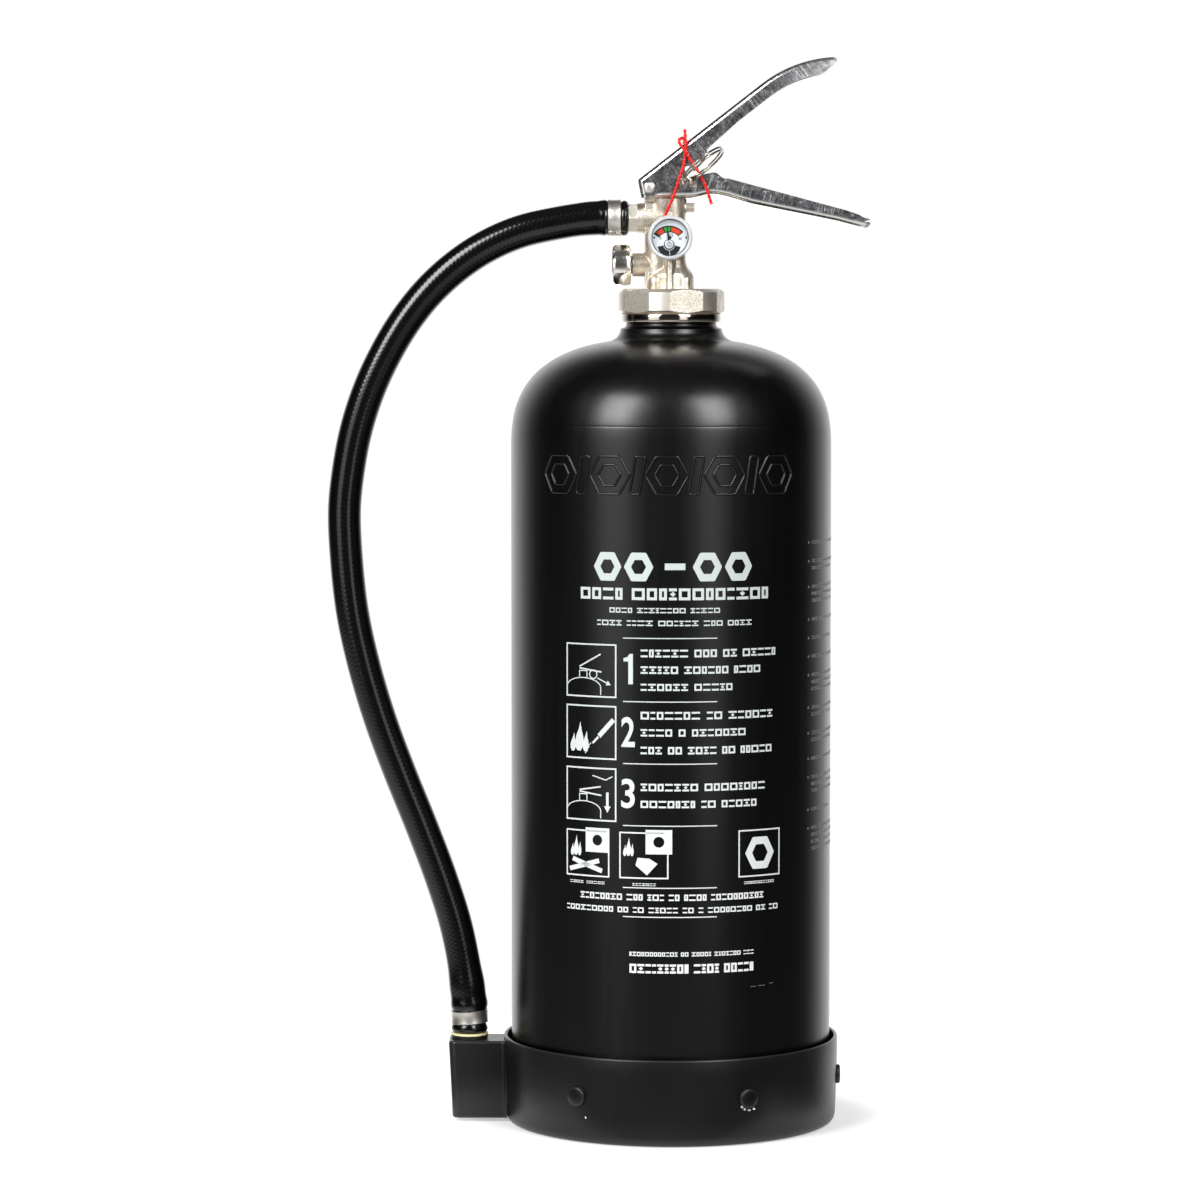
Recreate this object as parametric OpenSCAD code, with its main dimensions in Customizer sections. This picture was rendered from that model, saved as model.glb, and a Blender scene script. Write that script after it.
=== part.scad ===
// Portable stored-pressure fire extinguisher with a composite cylinder.
// Z is up, the front faces -Y, and the origin is on the cylinder's axis at the floor.

/* [Cylinder] */
// Outer diameter of the cylinder jacket
body_d = 180; // [178:0.5:182]
// Height where the cylinder ends and the shoulder begins
shoulder_z = 379; // [376:0.5:379]
// Height of the rounded shoulder above the cylinder
shoulder_h = 63; // [58:0.5:66]
// Wall of the plastic jacket
jacket_wall = 2.6; // [2:0.1:3]
// Wall of the fibre wrap under the jacket
wrap_wall = 3.6; // [2:0.1:4]
// Wall of the inner liner
liner_wall = 2; // [1.5:0.1:2.5]

/* [Base skirt] */
// Height of the skirt
skirt_h = 47; // [40:0.5:50]
// Wall of the skirt
skirt_wall = 2.2; // [1.8:0.1:2.3]
// Push rivets round the skirt
rivet_count = 6; // [3:1:8]
// Turn of the first rivet from the front, about the cylinder's axis
rivet_turn = -34; // [-40:1:-26]
// Height of the rivets
rivet_z = 26; // [20:0.5:30]
// Nozzle pocket: distance of its bore from the cylinder's axis
pocket_x = 114; // [113:0.5:116]
// Nozzle pocket: height of its top
pocket_h = 45.6; // [42:0.1:45.6]

/* [Valve] */
// Width across the flats of the valve's hexagon
hex_af = 56.9; // [54:0.1:58]
// Outer diameter of the valve's hexagon corners
hex_d = 60; // [58:0.5:62]
// Diameter of the valve stem
stem_d = 6; // [5.9:0.1:6]
// Width across the flats of the service port cap
cap_af = 23.3; // [20:0.1:24]
// Diameter of the pressure gauge
gauge_d = 25; // [24:0.1:26]

/* [Handles] */
// Slope of the squeeze lever above the horizontal
lever_slope = 37.7; // [36:0.1:38]
// Outside width of the squeeze lever
lever_w = 26; // [25.5:0.1:26]
// Outside width of the carrying handle
handle_w = 22; // [21:0.1:22]
// Sheet thickness of the lever and the handle
sheet = 1.5; // [1.2:0.1:1.6]
// Diameter of the safety pin
pin_d = 3.6; // [3:0.1:3.6]
// Outer diameter of the pull ring
ring_d = 30; // [28:0.5:31]

/* [Hose] */
// Outer diameter of the hose
hose_d = 18.8; // [18:0.1:19]
// Outer diameter of the hose clamps
clamp_d = 21; // [20:0.1:22]

/* [Hidden] */
$fn = 96;

// Cylinder shells: each is a superellipse dome, a straight wall and a flatter bottom.
dome_power = 2.7;
dome_steps = 22;
bottom_z = 30;
bottom_h = 24;
body_r = body_d / 2;
neck_r = 22.6;
collar_r = 25.3;
collar_lip_r = 28.5;
neck_z = 450.8;
wrap_in = jacket_wall + 0.2;
liner_in = wrap_in + wrap_wall + 0.2;

// Valve heights on the cylinder's axis
hex_z = 455.5;
hex_h = 14;
column_r = 8;
column_foot_r = 12.4;
top_z = 520;
seat_z = 501;
chamber_r = 5;
inlet_r = 5.7;
outlet_z = 509;
port_z = 483;
plug_z = 515;
stem_r = stem_d / 2;
stem_top_z = 538.5;
retainer_z = 466;
spring_base_z = 472;
spring_top_z = 494;

// Gauge on the front of the valve
gauge_x = -1;
gauge_z = 498;
hub_x = -1.5;
hub_z = 494.1;
needle_len = 7;
needle_rest = -6;

// Lever and handle share one pivot
pivot = [-12.5, 525.8];
pivot_d = 4.5;
pin_at = [11.8, 527.7];
web_out = 7.5;
lever_lap = 0.4;

// Pull ring: its centre, the tilt of its plane and the eye it hangs in
ring_at = [16.6, -30, 537.5];
ring_rise = 39;
ring_tilt = 11;
ring_section = [1.5, 2.2];
eye_at = [10.1, -20.6, 529.8];
eye_r = 3.6;
eye_wire = 1.7;

// Hose route from the valve outlet down to the nozzle, in the plane y = 0
hose_route = [[-24, 509], [-44, 509], [-65, 506], [-86, 501], [-105, 492.5], [-122, 481],
              [-137, 467], [-150, 450.5], [-161, 432], [-170, 412.5], [-177, 391],
              [-181.5, 369], [-184, 346], [-183, 318], [-179.5, 287], [-173, 257],
              [-164, 226.5], [-153, 196.5], [-141, 166.5], [-130, 137], [-121.5, 109.5],
              [-116.2, 82], [-114, 62], [-114, 48.8]];

// Tamper seal route: free end, down the front, round the valve, over the lever, free end
seal_d = 1.3;
seal_route = [[7.2, -14.2, 558.2], [7.6, -14.1, 552], [7.5, -14, 546], [6.4, -14, 538],
              [3.6, -14, 529], [0.6, -13.6, 520], [-1.6, -12, 515], [-3.6, -10, 510.5],
              [-6.4, -9.6, 505], [-8, -9.5, 499], [-6.8, -9.6, 493.6], [-1, -9.8, 490.2],
              [5, -9, 491], [9, -5.5, 493], [10, 0, 496], [9, 6, 500], [6.5, 9.8, 506],
              [5, 12.8, 513], [5, 14.2, 521], [6, 14.3, 530], [6.6, 14.3, 540],
              [7.2, 14.3, 549], [7.5, 13.2, 552.6], [7.6, 8, 553.3], [7.6, 2, 553.3],
              [7.5, -5, 553.3], [7, -9, 553.3], [6, -12.2, 553.3], [4.8, -14.3, 553],
              [4, -15.2, 552], [4.3, -15.7, 550.3], [5.8, -15.7, 548], [7.8, -15.5, 545.4],
              [10, -14.8, 541.8],
              [13, -14.1, 537.4], [16, -14, 532.4], [19.2, -14, 525.6], [22.2, -14, 516.6]];

// ---------- shared shapes ----------

// Quarter of a superellipse, from the rim (a, 0) to the radius r_end, as [r, height] points
function dome(a, b, r_end) =
    let (last = acos(pow(r_end / a, dome_power / 2)))
    [for (i = [0:dome_steps])
        let (t = last * i / dome_steps)
        [a * pow(cos(t), 2 / dome_power), b * pow(sin(t), 2 / dome_power)]];

// Half outline of the cylinder at a depth under its outer face, from the bottom to the neck
function shell_line(depth, neck) =
    let (low = dome(body_r - depth, bottom_h - depth, 0),
         high = dome(body_r - depth, shoulder_h - depth, neck))
    concat([for (i = [dome_steps:-1:0]) [low[i][0], bottom_z - low[i][1]]],
           [for (p = high) [p[0], shoulder_z + p[1]]]);

function reversed(list) = [for (i = [len(list) - 1:-1:0]) list[i]];

// Points of an arc about a centre, from one angle to another
function arc(centre, r, from, to, steps) =
    [for (i = [0:steps])
        let (a = from + (to - from) * i / steps)
        centre + r * [cos(a), sin(a)]];

function unit(v) = v / norm(v);

// Turns of the skirt's rivets from the front, without the one that the nozzle pocket covers
function rivet_turns() =
    [for (i = [0:rivet_count - 1])
        let (a = rivet_turn + 360 * i / rivet_count)
        if (sin(a) > -0.97) a];

// Direction of a route at point i
function heading(route, i) =
    unit(route[min(i + 1, len(route) - 1)] - route[max(i - 1, 0)]);

// Side vector of each ring, carried along so that the tube does not twist
function sides(route, i, last) =
    i == len(route) ? [] :
    let (t = heading(route, i), s = unit(last - t * (last * t)))
    concat([s], sides(route, i + 1, s));

// A closed tube of n sides swept along a route
module tube(route, d, n, first_side) {
    side = sides(route, 0, first_side);
    count = len(route);
    points = [for (i = [0:count - 1])
        let (s = side[i], u = cross(heading(route, i), s))
        for (k = [0:n - 1])
            route[i] + d / 2 * (cos(360 * k / n) * s + sin(360 * k / n) * u)];
    walls = [for (i = [0:count - 2], k = [0:n - 1])
        [i * n + k, i * n + (k + 1) % n, (i + 1) * n + (k + 1) % n, (i + 1) * n + k]];
    caps = [[for (k = [n - 1:-1:0]) k], [for (k = [0:n - 1]) (count - 1) * n + k]];
    polyhedron(points, concat(walls, caps), convexity = 10);
}

// An outline drawn in x and z, given a width along y about the middle plane
module plate(outline, width) {
    translate([0, width / 2, 0]) rotate([90, 0, 0]) linear_extrude(width) polygon(outline);
}

// A cylinder that lies along x, from x = a to x = b
module rod_x(a, b, r) { translate([a, 0, 0]) rotate([0, 90, 0]) cylinder(h = b - a, r = r); }

// A cylinder that lies along y, from y = a to y = b
module rod_y(a, b, r) { translate([0, a, 0]) rotate([-90, 0, 0]) cylinder(h = b - a, r = r); }

// A hexagonal bar that lies along x, from x = a to x = b, by its width across the flats
module hex_x(a, b, af) {
    translate([a, 0, 0]) rotate([0, 90, 0]) cylinder(h = b - a, r = af / 2 / cos(30), $fn = 6);
}

// ---------- cylinder ----------

module cylinder_jacket() {
    inner = shell_line(jacket_wall, neck_r);
    color([0.07, 0.07, 0.075]) rotate_extrude()
        polygon(concat(shell_line(0, collar_lip_r + 5),
                       [[collar_lip_r + 2.6, neck_z - 9.8], [collar_lip_r + 0.7, neck_z - 6.9],
                        [collar_lip_r, neck_z - 4.6], [collar_lip_r, neck_z - 3.4],
                        [collar_r, neck_z - 1.6], [collar_r, neck_z], [neck_r, neck_z]],
                       reversed(inner)));
}

module fibre_wrap() {
    color([0.72, 0.6, 0.2]) rotate_extrude()
        polygon(concat(shell_line(wrap_in, neck_r),
                       reversed(shell_line(wrap_in + wrap_wall, neck_r))));
}

module inner_liner() {
    color([0.85, 0.85, 0.83]) rotate_extrude()
        polygon(concat(shell_line(liner_in, neck_r),
                       reversed(shell_line(liner_in + liner_wall, neck_r))));
}

module neck_insert() {
    ring_r = 28.5;
    tube_r = neck_r - 0.2;
    thread_r = 16;
    foot_z = 423;
    color([0.78, 0.72, 0.6]) rotate_extrude()
        polygon([[thread_r, foot_z], [29, foot_z], [29, foot_z + 4], [tube_r, foot_z + 5],
                 [tube_r, neck_z], [ring_r - 0.5, neck_z], [ring_r, neck_z + 0.5],
                 [ring_r, hex_z - 0.5], [ring_r - 0.5, hex_z], [thread_r, hex_z]]);
}

module neck_o_ring() {
    color([0.05, 0.05, 0.05]) translate([0, 0, hex_z + 1.6])
        rotate_extrude() translate([19, 0]) circle(r = 1.6, $fn = 24);
}

// ---------- base skirt ----------

module base_skirt() {
    r = body_r + 4.5;
    floor_t = 3;
    pocket_w = 28;
    corner = 4;
    pocket_out = pocket_x + 11.5;
    pocket_bore = 9.5;
    color([0.09, 0.09, 0.095]) difference() {
        union() {
            rotate_extrude() polygon([[0, 0], [r - 0.8, 0], [r, 0.8], [r, skirt_h - 0.6],
                                      [r - 0.6, skirt_h], [r - skirt_wall, skirt_h],
                                      [r - skirt_wall, floor_t], [0, floor_t]]);
            translate([0, 0, floor_t - 0.5]) difference() {
                cylinder(h = 4, r = 42);
                translate([0, 0, -1]) cylinder(h = 6, r = 38);
            }
            difference() {
                translate([0, 0, 2]) union() {
                    translate([-pocket_out + corner, -pocket_w / 2, 0])
                        cube([pocket_out - corner - r + 3.4, pocket_w, pocket_h - 2]);
                    translate([-pocket_out, -pocket_w / 2 + corner, 0])
                        cube([corner + 1, pocket_w - 2 * corner, pocket_h - 2]);
                    for (side = [-1, 1])
                        translate([-pocket_out + corner, side * (pocket_w / 2 - corner), 0])
                            cylinder(h = pocket_h - 2, r = corner);
                }
                translate([0, 0, floor_t]) cylinder(h = skirt_h, r = r - skirt_wall);
            }
        }
        translate([-pocket_x, 0, 6]) cylinder(h = skirt_h, r = pocket_bore);
        for (a = rivet_turns())
            rotate([0, 0, a]) translate([0, 0, rivet_z]) rod_y(-r - 1, -r + 5, 3.1);
        for (a = [60, 180, 300]) rotate([0, 0, a]) translate([64, 0, -1]) cylinder(h = 6, r = 4);
    }
}

module skirt_rivets() {
    r = body_r + 4.5;
    color([0.06, 0.06, 0.06])
        for (a = rivet_turns())
            rotate([0, 0, a]) translate([0, 0, rivet_z]) {
                rod_y(-r - 0.6, -body_r, 3);
                rod_y(-r - 1.6, -r - 0.1, 5);
                rod_y(-r - 2.3, -r - 1.5, 4.2);
            }
}

// ---------- valve ----------

// The hexagon with its round, chamfered corners
module valve_hexagon() {
    r = hex_d / 2;
    intersection() {
        rotate([0, 0, 16.4]) translate([0, 0, hex_z])
            cylinder(h = hex_h, r = hex_af / 2 / cos(30), $fn = 6);
        rotate_extrude() polygon([[0, hex_z], [r - 3, hex_z], [r, hex_z + 1.8],
                                  [r, hex_z + hex_h - 1.8], [r - 3, hex_z + hex_h],
                                  [0, hex_z + hex_h]]);
    }
}

module valve_casting() {
    foot_z = hex_z + hex_h - 0.5;
    valve_hexagon();
    rotate_extrude() polygon([[0, 428], [15, 428], [15.8, 429], [15.8, hex_z + 1], [0, hex_z + 1]]);
    rotate_extrude() polygon([[0, foot_z], [column_foot_r, foot_z], [column_foot_r, 477],
                              [column_r, port_z], [column_r, top_z], [0, top_z]]);
    // left-hand side of the casting, which carries the outlet and the service port
    translate([-7, 0, 476]) cylinder(h = top_z - 476, r = 8);
    translate([-7, -7.8, 476]) cube([7, 15.6, top_z - 476]);
    // bosses on the foot of the casting
    translate([-8.6, -6.5, foot_z]) cylinder(h = 4.8, r = 4.4);
    translate([-8.6, -6.5, foot_z + 4.8]) sphere(r = 4.4);
    translate([-0.8, -11.6, foot_z]) cylinder(h = 12, r = 2.2);
    translate([-15.4, -4, foot_z]) cube([6, 8, 8]);
    // side ports
    translate([0, 0, port_z]) {
        rod_x(-21.8, 0, 6.5);
        rod_x(-31, -20, 4.9);
    }
    translate([0, 0, outlet_z]) rod_x(-19.2, 0, 8.4);
    translate([0, 0, plug_z]) rod_x(0, 8.4, 3.4);
    translate([gauge_x, 0, gauge_z]) rod_y(-9.2, 0, 5.6);
    // stem gland and the lug that carries the pivot rivet
    translate([0, 0, top_z - 1]) cylinder(h = 5, r = 5.4);
    translate([-15, -9.2, top_z - 1]) cube([6, 18.4, pivot[1] - top_z + 1]);
    intersection() {
        translate([pivot[0], 0, pivot[1]]) rod_y(-9.2, 9.2, 3.5);
        translate([-15, -10, pivot[1] - 1]) cube([6, 20, 6]);
    }
}

module valve_body() {
    color([0.8, 0.76, 0.68]) difference() {
        valve_casting();
        // inlet, seat, outlet chamber, stem guide and its o-ring groove
        translate([0, 0, 420]) cylinder(h = seat_z - 420, r = inlet_r);
        translate([0, 0, seat_z - 1]) cylinder(h = 4, r = 3.9);
        translate([0, 0, seat_z + 2]) cylinder(h = 12, r = chamber_r);
        translate([0, 0, seat_z + 12]) cylinder(h = 20, r = stem_r + 0.06);
        translate([0, 0, 516.8]) cylinder(h = 2.4, r = 4.3);
        translate([0, 0, outlet_z]) rod_x(-25, 0, 4);
        translate([0, 0, port_z]) rod_x(-40, 0, 2.6);
        translate([0, 0, plug_z]) rod_x(5.6, 12, 1.9);
        translate([gauge_x, 0, gauge_z]) rod_y(-12, -5.8, 3.5);
        translate([gauge_x, 0, gauge_z]) rod_y(-8, -2, 1.5);
        translate([pivot[0], 0, pivot[1]]) rod_y(-12, 12, pivot_d / 2 + 0.05);
        // o-ring groove under the hexagon
        translate([0, 0, hex_z - 1]) difference() {
            cylinder(h = 4.2, r = 21.2);
            translate([0, 0, -1]) cylinder(h = 7, r = 16.8);
        }
    }
}

module stem_o_ring() {
    minor = 0.6;
    color([0.05, 0.05, 0.05]) translate([0, 0, 518])
        rotate_extrude() translate([stem_r + 0.08 + minor, 0]) circle(r = minor, $fn = 24);
}

module spring_retainer() {
    color([0.8, 0.66, 0.36]) translate([0, 0, retainer_z]) difference() {
        cylinder(h = spring_base_z - retainer_z, r = inlet_r - 0.05);
        translate([0, 0, -1]) cylinder(h = 10, r = 3);
    }
}

module valve_spring() {
    turns = 6;
    per_turn = 12;
    wire = 1;
    coil_r = 4.2;
    rise = spring_top_z - spring_base_z - wire - 0.2;
    route = [for (i = [0:turns * per_turn])
        let (a = 360 * i / per_turn)
        [coil_r * cos(a), coil_r * sin(a),
         spring_base_z + wire / 2 + 0.1 + rise * i / (turns * per_turn)]];
    color([0.75, 0.76, 0.78]) tube(route, wire, 6, [1, 0, 0]);
}

module siphon_tube() {
    color([0.9, 0.9, 0.88]) translate([0, 0, 22]) difference() {
        cylinder(h = 441, r = inlet_r - 0.1);
        translate([0, 0, -1]) cylinder(h = 450, r = 4.5);
    }
}

module siphon_strainer() {
    color([0.2, 0.2, 0.2]) translate([0, 0, 16]) difference() {
        cylinder(h = 16, r = 8.5);
        translate([0, 0, 2]) cylinder(h = 5, r = 6.8);
        translate([0, 0, 6]) cylinder(h = 20, r = inlet_r);
        for (i = [0:3]) rotate([0, 0, 45 * i]) translate([-12, -0.6, 2.4]) cube([24, 1.2, 3.4]);
    }
}

module outlet_nipple() {
    color([0.8, 0.74, 0.6]) translate([0, 0, outlet_z]) difference() {
        union() {
            rotate([30, 0, 0]) hex_x(-23.9, -19.3, 15.3);
            rod_x(-19.4, -14, 3.9);
        }
        rod_x(-30, 0, 3);
    }
}

// A band clamp with a squeezed ear, round the z axis
module clamp_band(h, ear_turn) {
    difference() {
        union() {
            cylinder(h = h, r = clamp_d / 2);
            rotate([0, 0, ear_turn]) translate([clamp_d / 2 - 0.6, -2.4, 0.2])
                cube([2.6, 4.8, h - 0.4]);
        }
        translate([0, 0, -1]) cylinder(h = h + 2, r = hose_d / 2 + 0.1);
    }
}

module hose_clamp_top() {
    color([0.75, 0.74, 0.72]) translate([-35.6, 0, outlet_z]) rotate([0, 90, 0])
        clamp_band(7.3, 60);
}

module side_plug() {
    color([0.82, 0.8, 0.76]) translate([0, 0, plug_z]) {
        hex_x(8.5, 12.8, 5);
        rod_x(6, 8.6, 1.8);
    }
}

module charging_core() {
    color([0.8, 0.66, 0.36]) translate([0, 0, port_z]) {
        rod_x(-29.6, -14, 2.5);
        rod_x(-31.6, -29.5, 0.9);
    }
}

// ---------- gauge ----------

module gauge_stem() {
    color([0.8, 0.66, 0.36]) translate([gauge_x, 0, gauge_z]) difference() {
        union() {
            translate([0, -9.3, 0]) rotate([90, 0, 0])
                cylinder(h = 1.6, r = 9 / 2 / cos(30), $fn = 6);
            rod_y(-9.4, -6, 3.4);
        }
        rod_y(-12, -5, 1.2);
    }
}

module gauge_case() {
    color([0.8, 0.8, 0.82]) translate([gauge_x, 0, gauge_z]) difference() {
        rod_y(-19.8, -11, 11.6);
        rod_y(-21, -12, 10.9);
    }
}

module bourdon_tube() {
    color([0.8, 0.6, 0.3]) translate([gauge_x, -14, gauge_z]) rotate([90, 0, 0])
        rotate_extrude(angle = 270) translate([7, 0]) square([1, 2.4], center = true);
}

module gauge_dial() {
    color("white") difference() {
        translate([gauge_x, 0, gauge_z]) rod_y(-17.9, -17.4, 10.8);
        translate([hub_x, 0, hub_z]) rod_y(-19, -16, 0.85);
    }
}

module gauge_needle() {
    color([0.05, 0.05, 0.05]) translate([hub_x, 0, hub_z]) rotate([0, needle_rest, 0]) {
        rod_y(-18.8, -16, 0.8);
        rod_y(-18.8, -18.3, 1.6);
        translate([-0.35, -18.8, 0]) cube([0.7, 0.5, needle_len]);
    }
}

module gauge_hub_cover() {
    color([0.75, 0.75, 0.78]) translate([hub_x, 0, hub_z]) rod_y(-20.9, -19.3, 2.4);
}

module gauge_lens() {
    color([0.9, 0.93, 0.95, 0.4]) translate([gauge_x, 0, gauge_z]) difference() {
        rod_y(-22, -13.5, gauge_d / 2);
        rod_y(-20.9, -13, 11.7);
    }
}

// ---------- lever, handle, pin and ring ----------

// Lever outline about the pivot: x runs along the lever, z away from its open side
bend_x = 84.8;
bend_r = 71.5;
flange = 8.4;
cheek_r = 4.8;
tab_tip = [-7.25, -1.86];
slot_r = norm(pin_at - pivot);

function lever_outline() =
    let (bend = [bend_x, web_out - bend_r])
    concat([[-2.54, web_out]], arc(bend, bend_r, 90, 54.6, 10),
           [[126.6, -7], [125, -8.2], [121.5, -8.6], [117, -9]],
           arc(bend, bend_r - flange, 64, 90, 7),
           [[63, web_out - flange], [38, -2.6], [35.6, -5.6], [24.6, -7], [19.5, -10.3]],
           arc([0, 0], cheek_r, -105.2, -217.7, 8));

function lever_hollow() =
    let (bend = [bend_x, web_out - bend_r])
    concat([[-1.3, web_out - sheet]], arc(bend, bend_r - sheet, 90, 57, 9),
           [[120, -30], [-12, -30], [-5.91, -2.53]]);

// Arc that the safety pin sweeps through the cheeks while the lever is squeezed
function pin_slot() =
    let (rest = atan2(pin_at[1] - pivot[1], pin_at[0] - pivot[0]) - lever_slope,
         end = rest + 20.5, half = pin_d / 2 + 0.6)
    concat(arc([0, 0], slot_r - half, rest - 40, end, 12),
           arc(slot_r * [cos(end), sin(end)], half, end + 180, end, 6),
           arc([0, 0], slot_r + half, end, rest - 40, 12));

module squeeze_lever() {
    color([0.6, 0.6, 0.62]) translate([pivot[0], 0, pivot[1]]) rotate([0, -lever_slope, 0])
        difference() {
            union() {
                difference() {
                    plate(lever_outline(), lever_w);
                    plate(lever_hollow(), handle_w + 2 * lever_lap);
                }
                plate([[-2.54, web_out], [-1.2, web_out - 0.67], [-5.91, -2.53], tab_tip],
                      lever_w);
            }
            plate(pin_slot(), lever_w + 2);
            rod_y(-lever_w, lever_w, pivot_d / 2 + 0.06);
        }
}

function handle_floor(lift) =
    [for (p = [[22.5, -5.8], [28, -5], [33.5, -3.7], [38, -3.8], [44.5, -5.2], [57, -9],
               [73, -12.2], [92, -16], [105, -18.7], [112.5, -20.7]])
        p + [0, lift]];

function handle_outline() =
    concat([[-2.5, -5.8]], handle_floor(0), [[120.5, -22.8], [123.9, -20], [123.6, -18],
           [119, -16.4], [117.9, -15.4], [110.2, -12.6], [44.3, 5.1], [41.1, 5.3],
           [38.5, 7.6], [36.6, 8.5], [33, 8], [14, 4.4]],
           arc([0, 0], 3.8, 75, 190, 8));

module carry_handle() {
    color([0.55, 0.55, 0.57]) translate([pivot[0], 0, pivot[1]]) difference() {
        plate(handle_outline(), handle_w);
        plate(concat([[-12, sheet - 5.8]], handle_floor(sheet),
                     [[119.2, -20.9], [122, -18], [130, 20], [-12, 20]]),
              handle_w - 2 * sheet);
        // window for the valve's lug, and hole for its gland
        translate([-6, sheet - handle_w / 2, -8]) cube([10, handle_w - 2 * sheet, 6]);
        translate([-pivot[0], 0, -8]) cylinder(h = 6, r = 5.6);
        rod_y(-handle_w, handle_w, pivot_d / 2 + 0.05);
        translate([pin_at[0] - pivot[0], 0, pin_at[1] - pivot[1]])
            rod_y(-handle_w, handle_w, pin_d / 2 + 0.08);
    }
}

module pivot_rivet() {
    head_y = lever_w / 2 + 0.3;
    color([0.8, 0.78, 0.74]) translate([pivot[0], 0, pivot[1]]) {
        rod_y(-head_y - 0.5, head_y + 0.5, pivot_d / 2);
        for (side = [-1, 1]) rotate([side * 90, 0, 0]) translate([0, 0, head_y])
            cylinder(h = 2, r1 = 3.3, r2 = 2);
    }
}

module safety_pin() {
    color([0.75, 0.7, 0.62]) {
        translate([pin_at[0], 0, pin_at[1]]) rod_y(-17.4, 14, pin_d / 2);
        translate(eye_at) rotate([0, 90 - ring_rise, 0])
            rotate_extrude($fn = 48) translate([eye_r, 0]) circle(d = eye_wire, $fn = 20);
    }
}

module pull_ring() {
    r = ring_d / 2;
    color([0.8, 0.79, 0.76]) translate(ring_at)
        rotate([0, -ring_rise, 0]) rotate([-ring_tilt, 0, 0])
            rotate_extrude() polygon([[r, -0.9], [r, 0.9], [r - 0.3, 1.1], [r - 1.2, 1.1],
                                      [r - 1.5, 0.9], [r - 1.5, -0.9], [r - 1.2, -1.1],
                                      [r - 0.3, -1.1]]);
}

module tamper_seal() { color([0.85, 0.1, 0.08]) tube(seal_route, seal_d, 8, [1, 0, 0]); }

// ---------- moving parts of the valve, and the cap ----------

module valve_stem() {
    color([0.8, 0.66, 0.36]) {
        translate([0, 0, stem_top_z]) sphere(r = stem_r);
        rotate_extrude() polygon([[0, 486], [2.4, 486], [2.6, 486.4], [2.6, 494],
                                  [4.9, 494], [4.9, 499], [2, 499], [2, 512],
                                  [stem_r, 513], [stem_r, stem_top_z], [0, stem_top_z]]);
    }
}

module stem_gasket() {
    color([0.06, 0.06, 0.06]) translate([0, 0, 499]) difference() {
        cylinder(h = 1.6, r = 4.9);
        translate([0, 0, -1]) cylinder(h = 4, r = 2);
    }
}

module service_cap() {
    octagon_r = cap_af / 2 / cos(22.5);
    color([0.85, 0.84, 0.82]) translate([0, 0, port_z]) difference() {
        intersection() {
            translate([-33.3, 0, 0]) rotate([22.5, 0, 0]) rotate([0, 90, 0])
                cylinder(h = 10.7, r = octagon_r, $fn = 8);
            rotate([0, 90, 0]) rotate_extrude()
                polygon([[0, -33.3], [cap_af / 2 - 0.7, -33.3], [octagon_r + 0.7, -31.1],
                         [octagon_r + 0.7, -24.2], [cap_af / 2 - 0.3, -22.6], [0, -22.6]]);
        }
        rod_x(-31.9, -20, 5);
    }
}

// ---------- nozzle ----------

module nozzle() {
    color([0.07, 0.07, 0.07]) translate([-pocket_x, 0, 0]) rotate_extrude()
        polygon([[3, 10], [7.4, 10], [8, 10.6], [9.2, 24], [9.2, pocket_h + 0.3],
                 [10.4, pocket_h + 0.3], [10.4, 47.6], [5.5, 47.6], [5.5, 20], [3, 16]]);
}

module nozzle_ring() {
    color([0.93, 0.88, 0.45]) translate([-pocket_x, 0, 47.6]) difference() {
        cylinder(h = 1.2, r = 10.7);
        translate([0, 0, -1]) cylinder(h = 4, r = 5.6);
    }
}

module hose_clamp_bottom() {
    color([0.75, 0.74, 0.72]) translate([-pocket_x, 0, 54.3]) clamp_band(7.3, 70);
}

module hose() {
    color([0.08, 0.08, 0.08]) tube([for (p = hose_route) [p[0], 0, p[1]]], hose_d, 12, [0, 1, 0]);
}

cylinder_jacket();
fibre_wrap();
inner_liner();
neck_insert();
neck_o_ring();
base_skirt();
skirt_rivets();
valve_body();
stem_o_ring();
spring_retainer();
valve_spring();
siphon_tube();
siphon_strainer();
outlet_nipple();
hose_clamp_top();
side_plug();
charging_core();
gauge_stem();
gauge_case();
bourdon_tube();
gauge_dial();
gauge_hub_cover();
gauge_lens();
carry_handle();
pivot_rivet();
hose();
tamper_seal();
squeeze_lever();
valve_stem();
stem_gasket();
safety_pin();
pull_ring();
gauge_needle();
service_cap();
nozzle();
nozzle_ring();
hose_clamp_bottom();
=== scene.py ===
"""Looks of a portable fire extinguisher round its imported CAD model.

Sizes are in millimetres until a mesh is made."""

import math
import random

import bmesh
import bpy
from mathutils import Matrix, Vector
from mathutils.geometry import tessellate_polygon


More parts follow.
